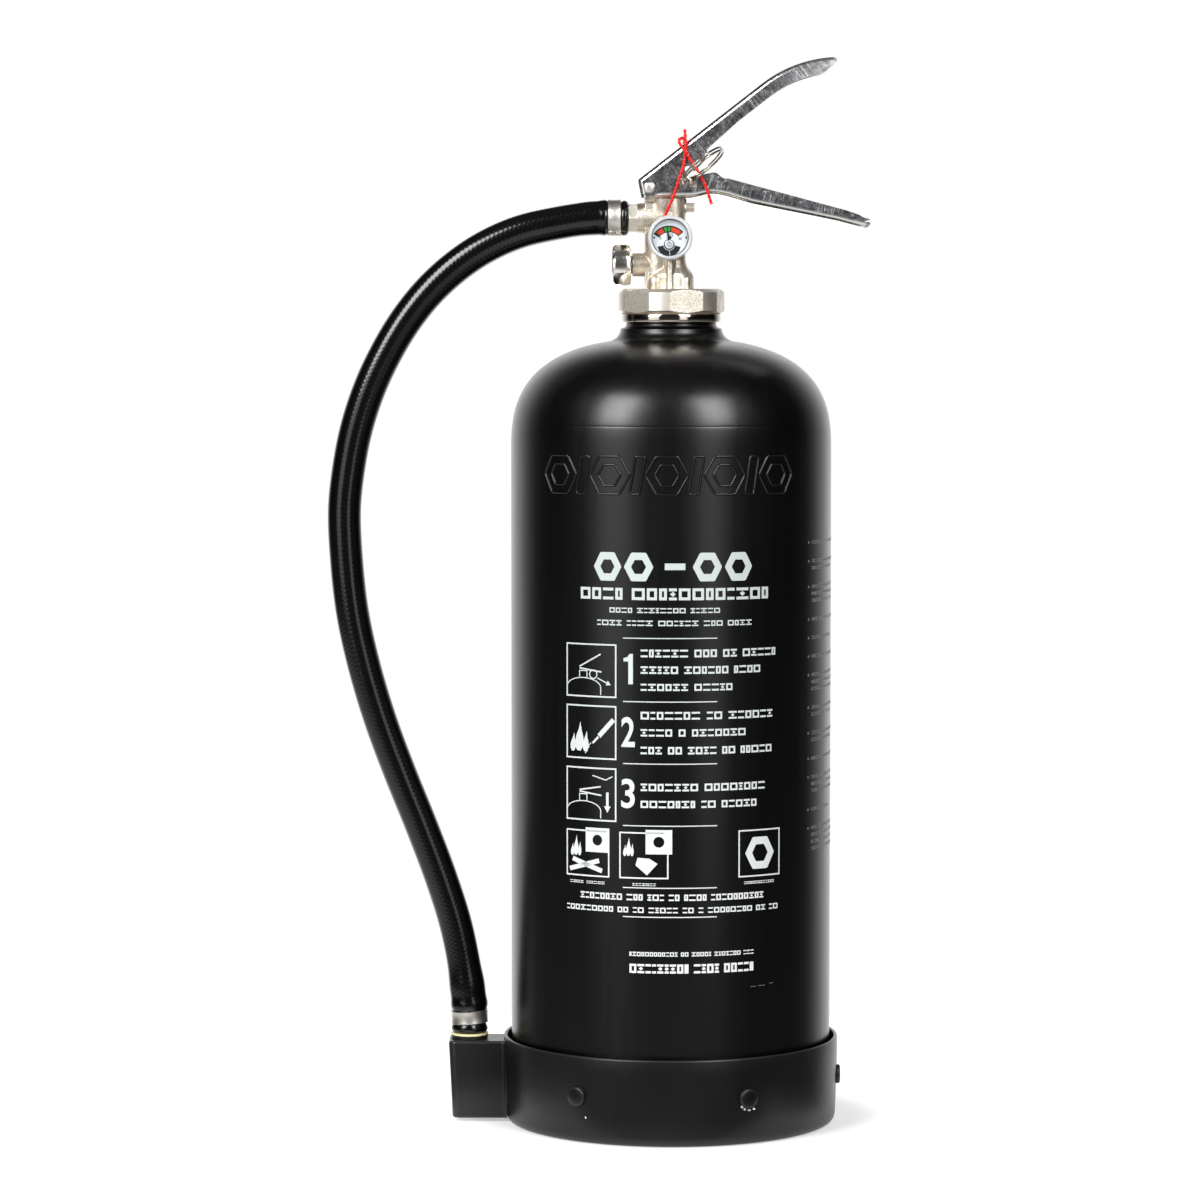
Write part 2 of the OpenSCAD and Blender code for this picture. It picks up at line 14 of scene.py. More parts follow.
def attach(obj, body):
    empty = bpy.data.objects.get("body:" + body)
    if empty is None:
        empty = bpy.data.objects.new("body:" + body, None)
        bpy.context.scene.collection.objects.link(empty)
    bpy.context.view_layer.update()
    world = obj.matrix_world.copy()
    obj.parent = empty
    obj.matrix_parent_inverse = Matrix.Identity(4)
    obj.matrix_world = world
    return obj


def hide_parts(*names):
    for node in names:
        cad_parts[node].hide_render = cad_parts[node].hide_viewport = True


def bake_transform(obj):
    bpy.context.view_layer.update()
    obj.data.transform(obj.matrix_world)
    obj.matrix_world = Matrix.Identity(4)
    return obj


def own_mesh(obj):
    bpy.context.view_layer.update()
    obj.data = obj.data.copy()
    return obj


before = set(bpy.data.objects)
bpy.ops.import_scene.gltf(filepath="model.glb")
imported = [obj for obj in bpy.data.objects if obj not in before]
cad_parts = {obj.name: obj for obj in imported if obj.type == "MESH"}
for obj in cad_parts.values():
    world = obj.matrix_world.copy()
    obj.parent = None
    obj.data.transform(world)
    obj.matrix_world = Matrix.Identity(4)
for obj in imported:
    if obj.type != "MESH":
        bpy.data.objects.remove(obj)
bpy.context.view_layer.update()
scene = bpy.context.scene
MM = 0.001
rng = random.Random(7)


# ---------------------------------------------------------------- shapes in millimetres

def sind(a):
    return math.sin(math.radians(a))


def cosd(a):
    return math.cos(math.radians(a))


def arc(cx, cz, r, a0, a1, steps):
    """Points of an arc about (cx, cz)."""
    return [(cx + r * cosd(a0 + (a1 - a0) * i / steps), cz + r * sind(a0 + (a1 - a0) * i / steps))
            for i in range(steps + 1)]


def belt(a, b, n):
    """The faces between two closed rings of n points that start at a and b."""
    return [(a + k, a + (k + 1) % n, b + (k + 1) % n, b + k) for k in range(n)]


def skin(rings, loop=False, caps=True):
    """Points and faces of a skin over closed rings of equal count."""
    n, count = len(rings[0]), len(rings)
    points = [p for ring in rings for p in ring]
    faces = []
    for i in range(count if loop else count - 1):
        faces += belt(i * n, ((i + 1) % count) * n, n)
    if caps and not loop:
        faces.append(tuple(range(n - 1, -1, -1)))
        faces.append(tuple(range((count - 1) * n, count * n)))
    return points, faces


def flat_faces(points, rows, across):
    """Triangles over flat rows of point numbers, by two of their axes. Rows after the first are holes."""
    numbers = [i for row in rows for i in row]
    loops = [[Vector((points[i][across[0]], points[i][across[1]], 0)) for i in row] for row in rows]
    return [tuple(numbers[i] for i in tri) for tri in tessellate_polygon(loops)]


def lathe(profile, steps=96, loop=False):
    """A profile of (radius, height) points turned about the z axis."""
    n = len(profile)
    points, faces = [], []
    for i in range(steps):
        c, s = math.cos(2 * math.pi * i / steps), math.sin(2 * math.pi * i / steps)
        points += [(r * c, r * s, h) for r, h in profile]
    for i in range(steps):
        a, b = i * n, ((i + 1) % steps) * n
        for k in range(n if loop else n - 1):
            m = (k + 1) % n
            faces.append((a + k, b + k, b + m, a + m))
    return points, faces


def rod(a, b, ra, rb=None, steps=40):
    """A closed cone or cylinder from point a to point b."""
    a, b = Vector(a), Vector(b)
    q = (b - a).to_track_quat("Z", "Y")
    rings = []
    for p, r in ((a, ra), (b, ra if rb is None else rb)):
        rings.append([p + q @ Vector((r * cosd(360 * k / steps), r * sind(360 * k / steps), 0))
                      for k in range(steps)])
    return skin(rings)


def block(lo, hi):
    """A closed box between two corners."""
    (x0, y0, z0), (x1, y1, z1) = lo, hi
    ring = [(x0, y0), (x1, y0), (x1, y1), (x0, y1)]
    return skin([[(x, y, z) for x, y in ring] for z in (z0, z1)])


def ball(centre, r):
    """A closed sphere."""
    points, faces = lathe([(r * sind(15 * k), -r * cosd(15 * k)) for k in range(13)], 24)
    return moved((points, faces), at(*centre))


def faceted(profile, sides, across, turn, steps=360, bulge=0.0):
    """A bar of flat or bulged sides, its corners turned down to a profile of (radius, height) points."""
    rings = []
    for r, h in profile:
        ring = []
        for k in range(steps):
            a = 360 * k / steps
            off = (a - turn) % (360 / sides) - 180 / sides
            flat = across / 2 * (bulge * 1.045 + (1 - bulge) / cosd(off))
            q = min(flat, r)
            ring.append((q * cosd(a), q * sind(a), h))
        rings.append(ring)
    return skin(rings)


def curve_points(route, step):
    """Points a step apart on a smooth line through a route."""
    pts = [Vector(p) for p in route]
    ends = [2 * pts[0] - pts[1]] + pts + [2 * pts[-1] - pts[-2]]
    fine = []
    for i in range(1, len(ends) - 2):
        p0, p1, p2, p3 = ends[i - 1:i + 3]
        t = [0.0]
        for a, b in ((p0, p1), (p1, p2), (p2, p3)):
            t.append(t[-1] + max((b - a).length, 1e-6) ** 0.5)
        for k in range(24):
            u = t[1] + (t[2] - t[1]) * k / 24
            a1 = p0 * ((t[1] - u) / t[1]) + p1 * (u / t[1])
            a2 = p1 * ((t[2] - u) / (t[2] - t[1])) + p2 * ((u - t[1]) / (t[2] - t[1]))
            a3 = p2 * ((t[3] - u) / (t[3] - t[2])) + p3 * ((u - t[2]) / (t[3] - t[2]))
            b1 = a1 * ((t[2] - u) / t[2]) + a2 * (u / t[2])
            b2 = a2 * ((t[3] - u) / (t[3] - t[1])) + a3 * ((u - t[1]) / (t[3] - t[1]))
            fine.append(b1 * ((t[2] - u) / (t[2] - t[1])) + b2 * ((u - t[1]) / (t[2] - t[1])))
    fine.append(pts[-1])
    total = sum((b - a).length for a, b in zip(fine, fine[1:]))
    count = max(2, round(total / step))
    out, want, run, i = [fine[0]], 1, 0.0, 0
    while want < count:
        seg = (fine[i + 1] - fine[i]).length
        target = total * want / count
        if run + seg >= target:
            out.append(fine[i].lerp(fine[i + 1], (target - run) / seg))
            want += 1
        else:
            run += seg
            i += 1
    out.append(fine[-1])
    return out, total


def frames_along(path, first):
    """A side and an up vector at each point of a path, with no twist."""
    side, out = Vector(first), []
    for i in range(len(path)):
        t = (path[min(i + 1, len(path) - 1)] - path[max(i - 1, 0)]).normalized()
        side = (side - t * side.dot(t)).normalized()
        out.append((side.copy(), t.cross(side)))
    return out


def tube(path, radius, n, first=(0, 1, 0), caps=True, loop=False):
    """A round tube along a path. radius is a number, or a function of distance and angle."""
    far, rings = 0.0, []
    for i, (side, up) in enumerate(frames_along(path, first)):
        if i:
            far += (path[i] - path[i - 1]).length
        ring = []
        for k in range(n):
            a = 2 * math.pi * k / n
            r = radius(far, a) if callable(radius) else radius
            ring.append(path[i] + side * (r * math.cos(a)) + up * (r * math.sin(a)))
        rings.append(ring)
    return skin(rings, loop=loop, caps=caps)


def moved(shape, matrix):
    points, faces = shape
    return [tuple(matrix @ Vector(p)) for p in points], faces


def joined(*shapes):
    """Several shapes as one."""
    points, faces = [], []
    for some_points, some_faces in shapes:
        base = len(points)
        points += some_points
        faces += [tuple(base + k for k in face) for face in some_faces]
    return points, faces


ALONG_X = Matrix.Rotation(math.radians(90), 4, "Y")  # turns the z axis to x
ALONG_Y = Matrix.Rotation(math.radians(90), 4, "X")  # turns the z axis to -y, towards the front


def at(x, y, z):
    return Matrix.Translation((x, y, z))


def linked(name, data):
    """A new object in the scene."""
    obj = bpy.data.objects.new(name, data)
    scene.collection.objects.link(obj)
    return obj


def piece(name, shape, paint, body="root", replaces=(), smooth=35, bevel=None, kinds=None,
          weld=1e-3):
    """A Blender object from a shape, on its body. kinds gives each face's number in a list of paints."""
    points, faces = shape
    mesh = bpy.data.meshes.new(name)
    mesh.from_pydata([[c * MM for c in p] for p in points], [], faces)
    for m in paint if isinstance(paint, list) else [paint]:
        mesh.materials.append(m)
    if kinds:
        mesh.polygons.foreach_set("material_index", kinds)
    bm = bmesh.new()
    bm.from_mesh(mesh)
    if weld:
        bmesh.ops.remove_doubles(bm, verts=bm.verts, dist=weld * MM)
        bmesh.ops.dissolve_degenerate(bm, edges=bm.edges, dist=1e-8)
    bmesh.ops.recalc_face_normals(bm, faces=bm.faces)
    bm.to_mesh(mesh)
    bm.free()
    mesh.polygons.foreach_set("use_smooth", [True] * len(mesh.polygons))
    mesh.set_sharp_from_angle(angle=math.radians(smooth))
    obj = linked(name, mesh)
    if bevel:
        edges = obj.modifiers.new("edges", "BEVEL")
        edges.width, edges.segments = bevel * MM, 2
        edges.limit_method, edges.angle_limit = "ANGLE", math.radians(38)
        edges.harden_normals = True
    if body:
        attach(obj, body)
    if replaces:
        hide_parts(*replaces)
    return obj


def applied(obj):
    """Applies the modifiers of an object to its mesh."""
    mesh = bpy.data.meshes.new_from_object(obj.evaluated_get(bpy.context.evaluated_depsgraph_get()))
    obj.modifiers.clear()
    obj.data = mesh


# ---------------------------------------------------------------- camera

lens = bpy.data.cameras.new("camera")
lens.sensor_width, lens.lens, lens.clip_end = 36.0, 133.2, 40.0
camera = linked("camera", lens)
camera.location = (-0.040, -2.498, 0.4648)
camera.rotation_euler = (math.radians(86.1), 0, 0)
scene.camera = camera


# ---------------------------------------------------------------- materials

HOSE_U = 100  # millimetres of hose for one unit of its u


class Paint:
    """A Principled material with short ways to add detail in object coordinates, the row frame's."""

    def __init__(self, name, colour, rough, metal=0.0, **sockets):
        self.mat = bpy.data.materials.new(name)
        self.mat.use_nodes = True
        self.tree = self.mat.node_tree
        self.tree.nodes.clear()
        self.out = self.tree.nodes.new("ShaderNodeOutputMaterial")
        self.shader = self.tree.nodes.new("ShaderNodeBsdfPrincipled")
        self.tree.links.new(self.shader.outputs[0], self.out.inputs[0])
        self.shader.inputs["Base Color"].default_value = (*colour, 1)
        self.shader.inputs["Roughness"].default_value = rough
        self.shader.inputs["Metallic"].default_value = metal
        for key, value in sockets.items():
            self.shader.inputs[key.replace("_", " ")].default_value = value
        self.space = self.tree.nodes.new("ShaderNodeTexCoord").outputs["Object"]
        self.height = None

    def node(self, kind, links=(), **values):
        n = self.tree.nodes.new(kind)
        for key, value in values.items():
            setattr(n, key, value)
        for socket, value in links:
            if isinstance(value, bpy.types.NodeSocket):
                self.tree.links.new(value, n.inputs[socket])
            else:
                n.inputs[socket].default_value = value
        return n

    def place(self, size, stretch, turn):
        """Coordinates scaled so that one unit is size mm, turned, then stretched."""
        angles = [math.radians(a) for a in turn]
        turned = self.node("ShaderNodeMapping", [(0, self.space), ("Rotation", angles)]).outputs[0]
        scales = [1 / MM / size / s for s in stretch]
        return self.node("ShaderNodeMapping", [(0, turned), ("Scale", scales)]).outputs[0]

    def noise(self, size, detail=3.0, rough=0.55, stretch=(1, 1, 1), turn=(0, 0, 0), distort=0.0):
        return self.node("ShaderNodeTexNoise", [
            ("Vector", self.place(size, stretch, turn)), ("Scale", 1.0), ("Detail", detail),
            ("Roughness", rough), ("Distortion", distort)]).outputs[0]

    def math(self, operation, a, b=0.0):
        return self.node("ShaderNodeMath", [(0, a), (1, b)], operation=operation).outputs[0]

    def times(self, a, b):
        return self.math("MULTIPLY", a, b)

    def plus(self, a, b):
        return self.math("ADD", a, b)

    def span(self, value, lo, hi, to_lo=0.0, to_hi=1.0, soft=False):
        return self.node("ShaderNodeMapRange", [(0, value), (1, lo), (2, hi), (3, to_lo), (4, to_hi)],
                         interpolation_type="SMOOTHSTEP" if soft else "LINEAR").outputs[0]

    def blend(self, amount, a, b):
        """Colour a where amount is 0 and b where it is 1."""
        a, b = (c if isinstance(c, bpy.types.NodeSocket) else (*c, 1) for c in (a, b))
        return self.node("ShaderNodeMix", [(0, amount), (6, a), (7, b)], data_type="RGBA").outputs[2]

    def colour(self, socket):
        self.tree.links.new(socket, self.shader.inputs["Base Color"])
        return self

    def rough(self, socket):
        self.tree.links.new(socket, self.shader.inputs["Roughness"])
        return self

    def bump(self, socket, depth, strength=1.0):
        """Raises the surface by up to depth mm where the socket is 1."""
        links = [("Height", socket), ("Strength", strength), ("Distance", depth * MM)]
        n = self.node("ShaderNodeBump", links)
        if self.height is not None:
            self.tree.links.new(self.height, n.inputs["Normal"])
        self.height = n.outputs[0]
        self.tree.links.new(self.height, self.shader.inputs["Normal"])
        return self

    def edge_wear_and_sheen(self):
        """1 on convex edges, 0 elsewhere: the edges that are painted lighter, partly as wear and partly as a
        painted highlight.
        """
        return self.span(self.node("ShaderNodeNewGeometry").outputs["Pointiness"], 0.505, 0.56)

    def apart(self):
        """The x, y and z of a point in metres."""
        return self.node("ShaderNodeSeparateXYZ", [(0, self.space)]).outputs


def jacket_plastic():
    p = Paint("jacket_plastic", (0.0012, 0.0014, 0.0014), 0.36, Specular_IOR_Level=0.5)
    broad = p.noise(55, 2.0, stretch=(1, 1, 3.5))
    fine = p.noise(0.9, 2.0)
    p.colour(p.blend(broad, (0.0003, 0.0004, 0.00045), (0.0006, 0.0007, 0.0007)))
    drawn = p.noise(6, 3.0, stretch=(1, 1, 18))
    p.rough(p.span(p.plus(p.times(fine, 0.35), drawn), 0.3, 1.1, 0.26, 0.34))
    p.bump(p.noise(0.8, 3.0), 0.008, 0.6)
    p.bump(p.noise(14, 2.0, stretch=(1, 1, 2.2)), 0.05, 0.3)
    return p.mat


def skirt_plastic(name="skirt_plastic", lift=1.0):
    p = Paint(name, (0.003, 0.003, 0.003), 0.38, Specular_IOR_Level=0.38)
    grain = p.noise(0.55, 2.0)
    broad = p.noise(38, 3.0)
    scratch = p.noise(2.4, 5.0, 0.7, stretch=(0.25, 0.25, 7), turn=(0, 9, 0))
    x, _, z = p.apart()
    near_rim = p.times(p.span(x, 0.074, 0.092, soft=True), p.span(z, 0.026, 0.044, soft=True))
    marks = p.times(p.span(scratch, 0.62, 0.7), p.plus(near_rim, 0.12))
    base = p.blend(broad, (0.0012 * lift,) * 3, (0.0027 * lift,) * 3)
    # convex edges painted lighter grey: scuffing, and a painted highlight
    edge_wear_and_sheen = p.blend(p.times(p.edge_wear_and_sheen(), 0.35), base, (0.07, 0.07, 0.067))
    p.colour(p.blend(marks, edge_wear_and_sheen, (0.075, 0.074, 0.07)))
    p.rough(p.span(p.plus(grain, broad), 0.6, 1.4, 0.28, 0.40))
    p.bump(grain, 0.012, 0.5)
    p.bump(scratch, 0.01, 0.3)
    return p.mat


def nickel(name, light, dark, rough, grain, depth, pits=0.0, wave=0.0, hollow_shade=0.0):
    """Nickel plate on brass, from blasted casting to polished turning by its grain in mm."""
    p = Paint(name, light, rough, 1.0)
    g = p.noise(grain, 3.0, 0.65)
    broad = p.noise(9, 3.0)
    tone = p.blend(p.span(broad, 0.35, 0.7), light, dark)
    if pits:
        pit = p.span(p.noise(grain, 2.0, 0.7), 0.50, 0.64)
        tone = p.blend(p.times(pit, pits), tone, tuple(c * 0.5 for c in dark))
    # hollows painted dark brown: painted shade in the recesses
    if hollow_shade:
        pointed = p.node("ShaderNodeNewGeometry").outputs["Pointiness"]
        tone = p.blend(p.times(p.span(pointed, 0.496, 0.455), hollow_shade), tone, (0.26, 0.19, 0.12))
    # convex edges painted lighter: wear, and a painted highlight
    p.colour(p.blend(p.times(p.edge_wear_and_sheen(), 0.5), tone, tuple(min(1, c * 1.18) for c in light)))
    p.rough(p.span(p.plus(g, broad), 0.6, 1.4, rough * 0.8, rough * 1.25))
    if depth:
        p.bump(g, depth, 0.9)
    if wave:
        p.bump(p.noise(3.4, 2.0), wave, 0.8)
    return p.mat


def pressed_steel(name, turn, bright_from=1.0):
    """Plated sheet with press marks across its length, scratches along it and bright flecks.

    From bright_from metres along x the plate is painted lighter and rougher, a painted highlight where its
    tip turns to the light."""
    p = Paint(name, (0.55, 0.55, 0.57), 0.28, 1.0)
    along = p.noise(1.0, 5.0, 0.72, stretch=(38, 6, 1), turn=(0, turn, 0))
    across = p.noise(1.2, 4.0, 0.7, stretch=(0.6, 6, 11), turn=(0, turn, 0), distort=0.3)
    cloud = p.noise(4.5, 4.0, 0.66)
    patch = p.noise(16, 2.0)
    fleck = p.span(p.noise(1.1, 3.0, 0.7, stretch=(2.2, 4, 1), turn=(0, turn + 32, 0)), 0.60, 0.68)
    press = p.times(p.span(across, 0.52, 0.64), p.span(patch, 0.40, 0.58))
    facing = p.math("ABSOLUTE", p.node("ShaderNodeSeparateXYZ", [
        (0, p.node("ShaderNodeTexCoord").outputs["Normal"])]).outputs[1])
    # towards the tip the plate is painted lighter, a painted highlight, and made rougher
    tip_highlight = p.times(p.span(p.apart()[0], bright_from, bright_from + 0.04), p.span(cloud, 0.62, 0.40))
    # by which way the plate faces: bend paints the web and bends lighter than the cheeks, a painted
    # highlight; start paints a dark line where a bend leaves a cheek, and under paints a dark band across
    # the bends' middle, both painted shade
    bend = p.span(facing, 0.97, 0.90)
    start = p.times(p.span(facing, 0.998, 0.985), p.span(facing, 0.90, 0.95))
    under = p.times(p.span(facing, 0.62, 0.50), p.span(facing, 0.22, 0.34))
    tone = p.blend(p.span(cloud, 0.32, 0.68), (0.26, 0.265, 0.29), (0.66, 0.665, 0.70))
    # the tone takes the press marks, scratches and flecks, then the painted highlights and painted shade;
    # the last entry lightens convex edges, partly wear and partly a painted highlight
    for mask, share, colour in (
            (press, 0.5, (0.92, 0.92, 0.95)), (p.span(along, 0.58, 0.7), 0.35, (0.28, 0.28, 0.30)),
            (fleck, 0.6, (1.0, 1.0, 1.0)), (tip_highlight, 0.75, (0.97, 0.97, 0.98)),
            (start, 0.6, (0.15, 0.15, 0.16)), (bend, 0.9, (0.95, 0.92, 0.87)),
            (under, 0.75, (0.22, 0.20, 0.18)), (p.edge_wear_and_sheen(), 0.6, (0.90, 0.89, 0.87))):
        tone = p.blend(p.times(mask, share), tone, colour)
    p.colour(tone)
    dull = p.plus(cloud, p.times(p.plus(press, fleck), 0.6))
    dull = p.plus(p.span(dull, 0.3, 1.3, 0.20, 0.44), p.times(tip_highlight, 0.16))
    p.rough(p.math("SUBTRACT", dull, p.times(bend, 0.04)))
    p.bump(p.plus(along, p.times(across, 1.4)), 0.002, 0.5)
    p.bump(p.noise(12, 2.0), 0.14, 0.5)
    return p.mat


def steel(name, light, dark, rough, depth=0.006, size=0.6):
    """Bright steel with a slight grain."""
    p = Paint(name, light, rough, 1.0)
    g = p.noise(size, 4.0, 0.65)
    cloud = p.noise(5, 3.0)
    p.colour(p.blend(p.times(p.plus(g, cloud), 0.55), light, dark))
    p.rough(p.span(g, 0.3, 0.7, rough * 0.75, rough * 1.3))
    p.bump(g, depth, 0.8)
    return p.mat


def rubber(name, base, light, rough):
    p = Paint(name, base, rough)
    g = p.noise(0.5, 3.0)
    p.colour(p.blend(p.noise(7, 3.0), base, light))
    p.rough(p.span(g, 0.3, 0.7, rough * 0.85, rough * 1.15))
    p.bump(g, 0.01, 0.7)
    return p.mat


def hose_rubber():
    """Cured rubber with the print of its wrapping: crossing fine ribs in the hose's own coordinates."""
    p = Paint("hose_rubber", (0.002, 0.002, 0.002), 0.18, Specular_IOR_Level=0.52)
    uv = p.node("ShaderNodeUVMap", uv_map="along").outputs[0]
    s, turn, _ = p.node("ShaderNodeSeparateXYZ", [(0, uv)]).outputs
    wobble = p.times(p.noise(7, 2.0), 1.6)
    pitch, ribs_round = 2.6, 14
    along = p.plus(p.times(s, 2 * math.pi / pitch * HOSE_U), wobble)
    around = p.times(turn, 2 * math.pi * ribs_round)
    a = p.math("SINE", p.plus(along, around))
    b = p.math("SINE", p.math("SUBTRACT", along, around))
    ribs = p.times(p.plus(a, b), 0.5)
    fine = p.noise(0.5, 3.0)
    p.colour(p.blend(p.noise(12, 3.0), (0.0010, 0.0011, 0.0012), (0.0026, 0.0026, 0.0025)))
    p.rough(p.span(p.plus(p.times(ribs, 0.3), fine), 0.1, 0.9, 0.15, 0.23))
    p.bump(ribs, 0.021, 0.8)
    p.bump(fine, 0.003, 0.5)
    p.bump(p.noise(9, 2.0), 0.12, 0.4)
    return p.mat


def plain(name, a, b, rough, size=3.0, depth=0.01, metal=0.0, **sockets):
    """Moulded or painted stuff with slight cloudiness and a fine grain."""
    p = Paint(name, a, rough, metal, **sockets)
    g = p.noise(0.4, 2.0)
    p.colour(p.blend(p.noise(size, 3.0), a, b))
    p.rough(p.span(g, 0.3, 0.7, rough * 0.85, min(1.0, rough * 1.2)))
    p.bump(g, depth, 0.6)
    return p.mat


def label_print():
    """Screen ink, lighter towards the foot of the label and darker towards its top."""
    p = Paint("label_print", (0.6, 0.62, 0.61), 0.5)
    tone = p.blend(p.span(p.apart()[2], 0.11, 0.318), (0.88, 0.91, 0.90), (0.54, 0.60, 0.585))
    p.colour(p.blend(p.span(p.noise(5, 3.0), 0.3, 0.7, 0.0, 0.12), tone, (0.40, 0.42, 0.42)))
    p.bump(p.noise(0.4, 2.0), 0.006, 0.6)
    return p.mat


def aramid():
    """Wound golden fibre under resin: two crossing sets of tows."""
    p = Paint("aramid", (0.6, 0.42, 0.1), 0.38, Coat_Weight=0.4, Coat_Roughness=0.12)
    tow_a = p.noise(2.2, 3.0, stretch=(14, 14, 1))
    tow_b = p.noise(2.2, 3.0, stretch=(1, 1, 12), turn=(24, 18, 0))
    weave = p.plus(tow_a, tow_b)
    p.colour(p.blend(p.span(weave, 0.75, 1.25), (0.36, 0.22, 0.04), (0.78, 0.58, 0.18)))
    p.bump(weave, 0.12, 0.8)
    return p.mat


def clear_sheet(name, tint, shine_edge, centre=(0, 0), lines=(), milk=0.0):
    """Thin clear plastic: what is behind it shows straight through, under a faint reflection.

    Its moulded steps are painted as darker lines, painted shade for how their edges turn the light:
    each a radius in mm about a centre in x and z, a half width and a tone. milk is the share of light that a
    sheet with such lines scatters."""
    p = Paint(name, (1, 1, 1), 0.03)
    clear = p.node("ShaderNodeBsdfTransparent", [(0, (*tint, 1))])
    body = clear.outputs[0]
    if lines:
        x, _, z = p.apart()
        dx, dz = [p.math("SUBTRACT", place, middle * MM) for place, middle in zip((x, z), centre)]
        far = p.math("SQRT", p.plus(p.times(dx, dx), p.times(dz, dz)))
        tone = tint
        # each line painted darker: painted shade at a moulded step
        for radius, half, dark in lines:
            off = p.math("ABSOLUTE", p.math("SUBTRACT", far, radius * MM))
            tone = p.blend(p.span(off, half * MM, half * 0.3 * MM), tone, (dark, dark, dark * 1.03))
        p.tree.links.new(tone, clear.inputs[0])
        cloudy = p.node("ShaderNodeBsdfDiffuse", [(0, tone)]).outputs[0]
        body = p.node("ShaderNodeMixShader", [(0, milk), (1, body), (2, cloudy)]).outputs[0]
    shine = p.node("ShaderNodeBsdfGlossy", [("Color", (1, 1, 1, 1))])
    p.tree.links.new(p.span(p.noise(3, 2.0), 0.2, 0.8, 0.02, 0.06), shine.inputs["Roughness"])
    mix = p.node("ShaderNodeMixShader")
    facing = p.node("ShaderNodeLayerWeight", [("Blend", 0.5)]).outputs["Facing"]
    p.tree.links.new(p.span(facing, 0.45, 1.0, 0.03, shine_edge, soft=True), mix.inputs[0])
    p.tree.links.new(body, mix.inputs[1])
    p.tree.links.new(shine.outputs[0], mix.inputs[2])
    p.tree.links.new(mix.outputs[0], p.out.inputs[0])
    p.tree.nodes.remove(p.shader)
    return p.mat


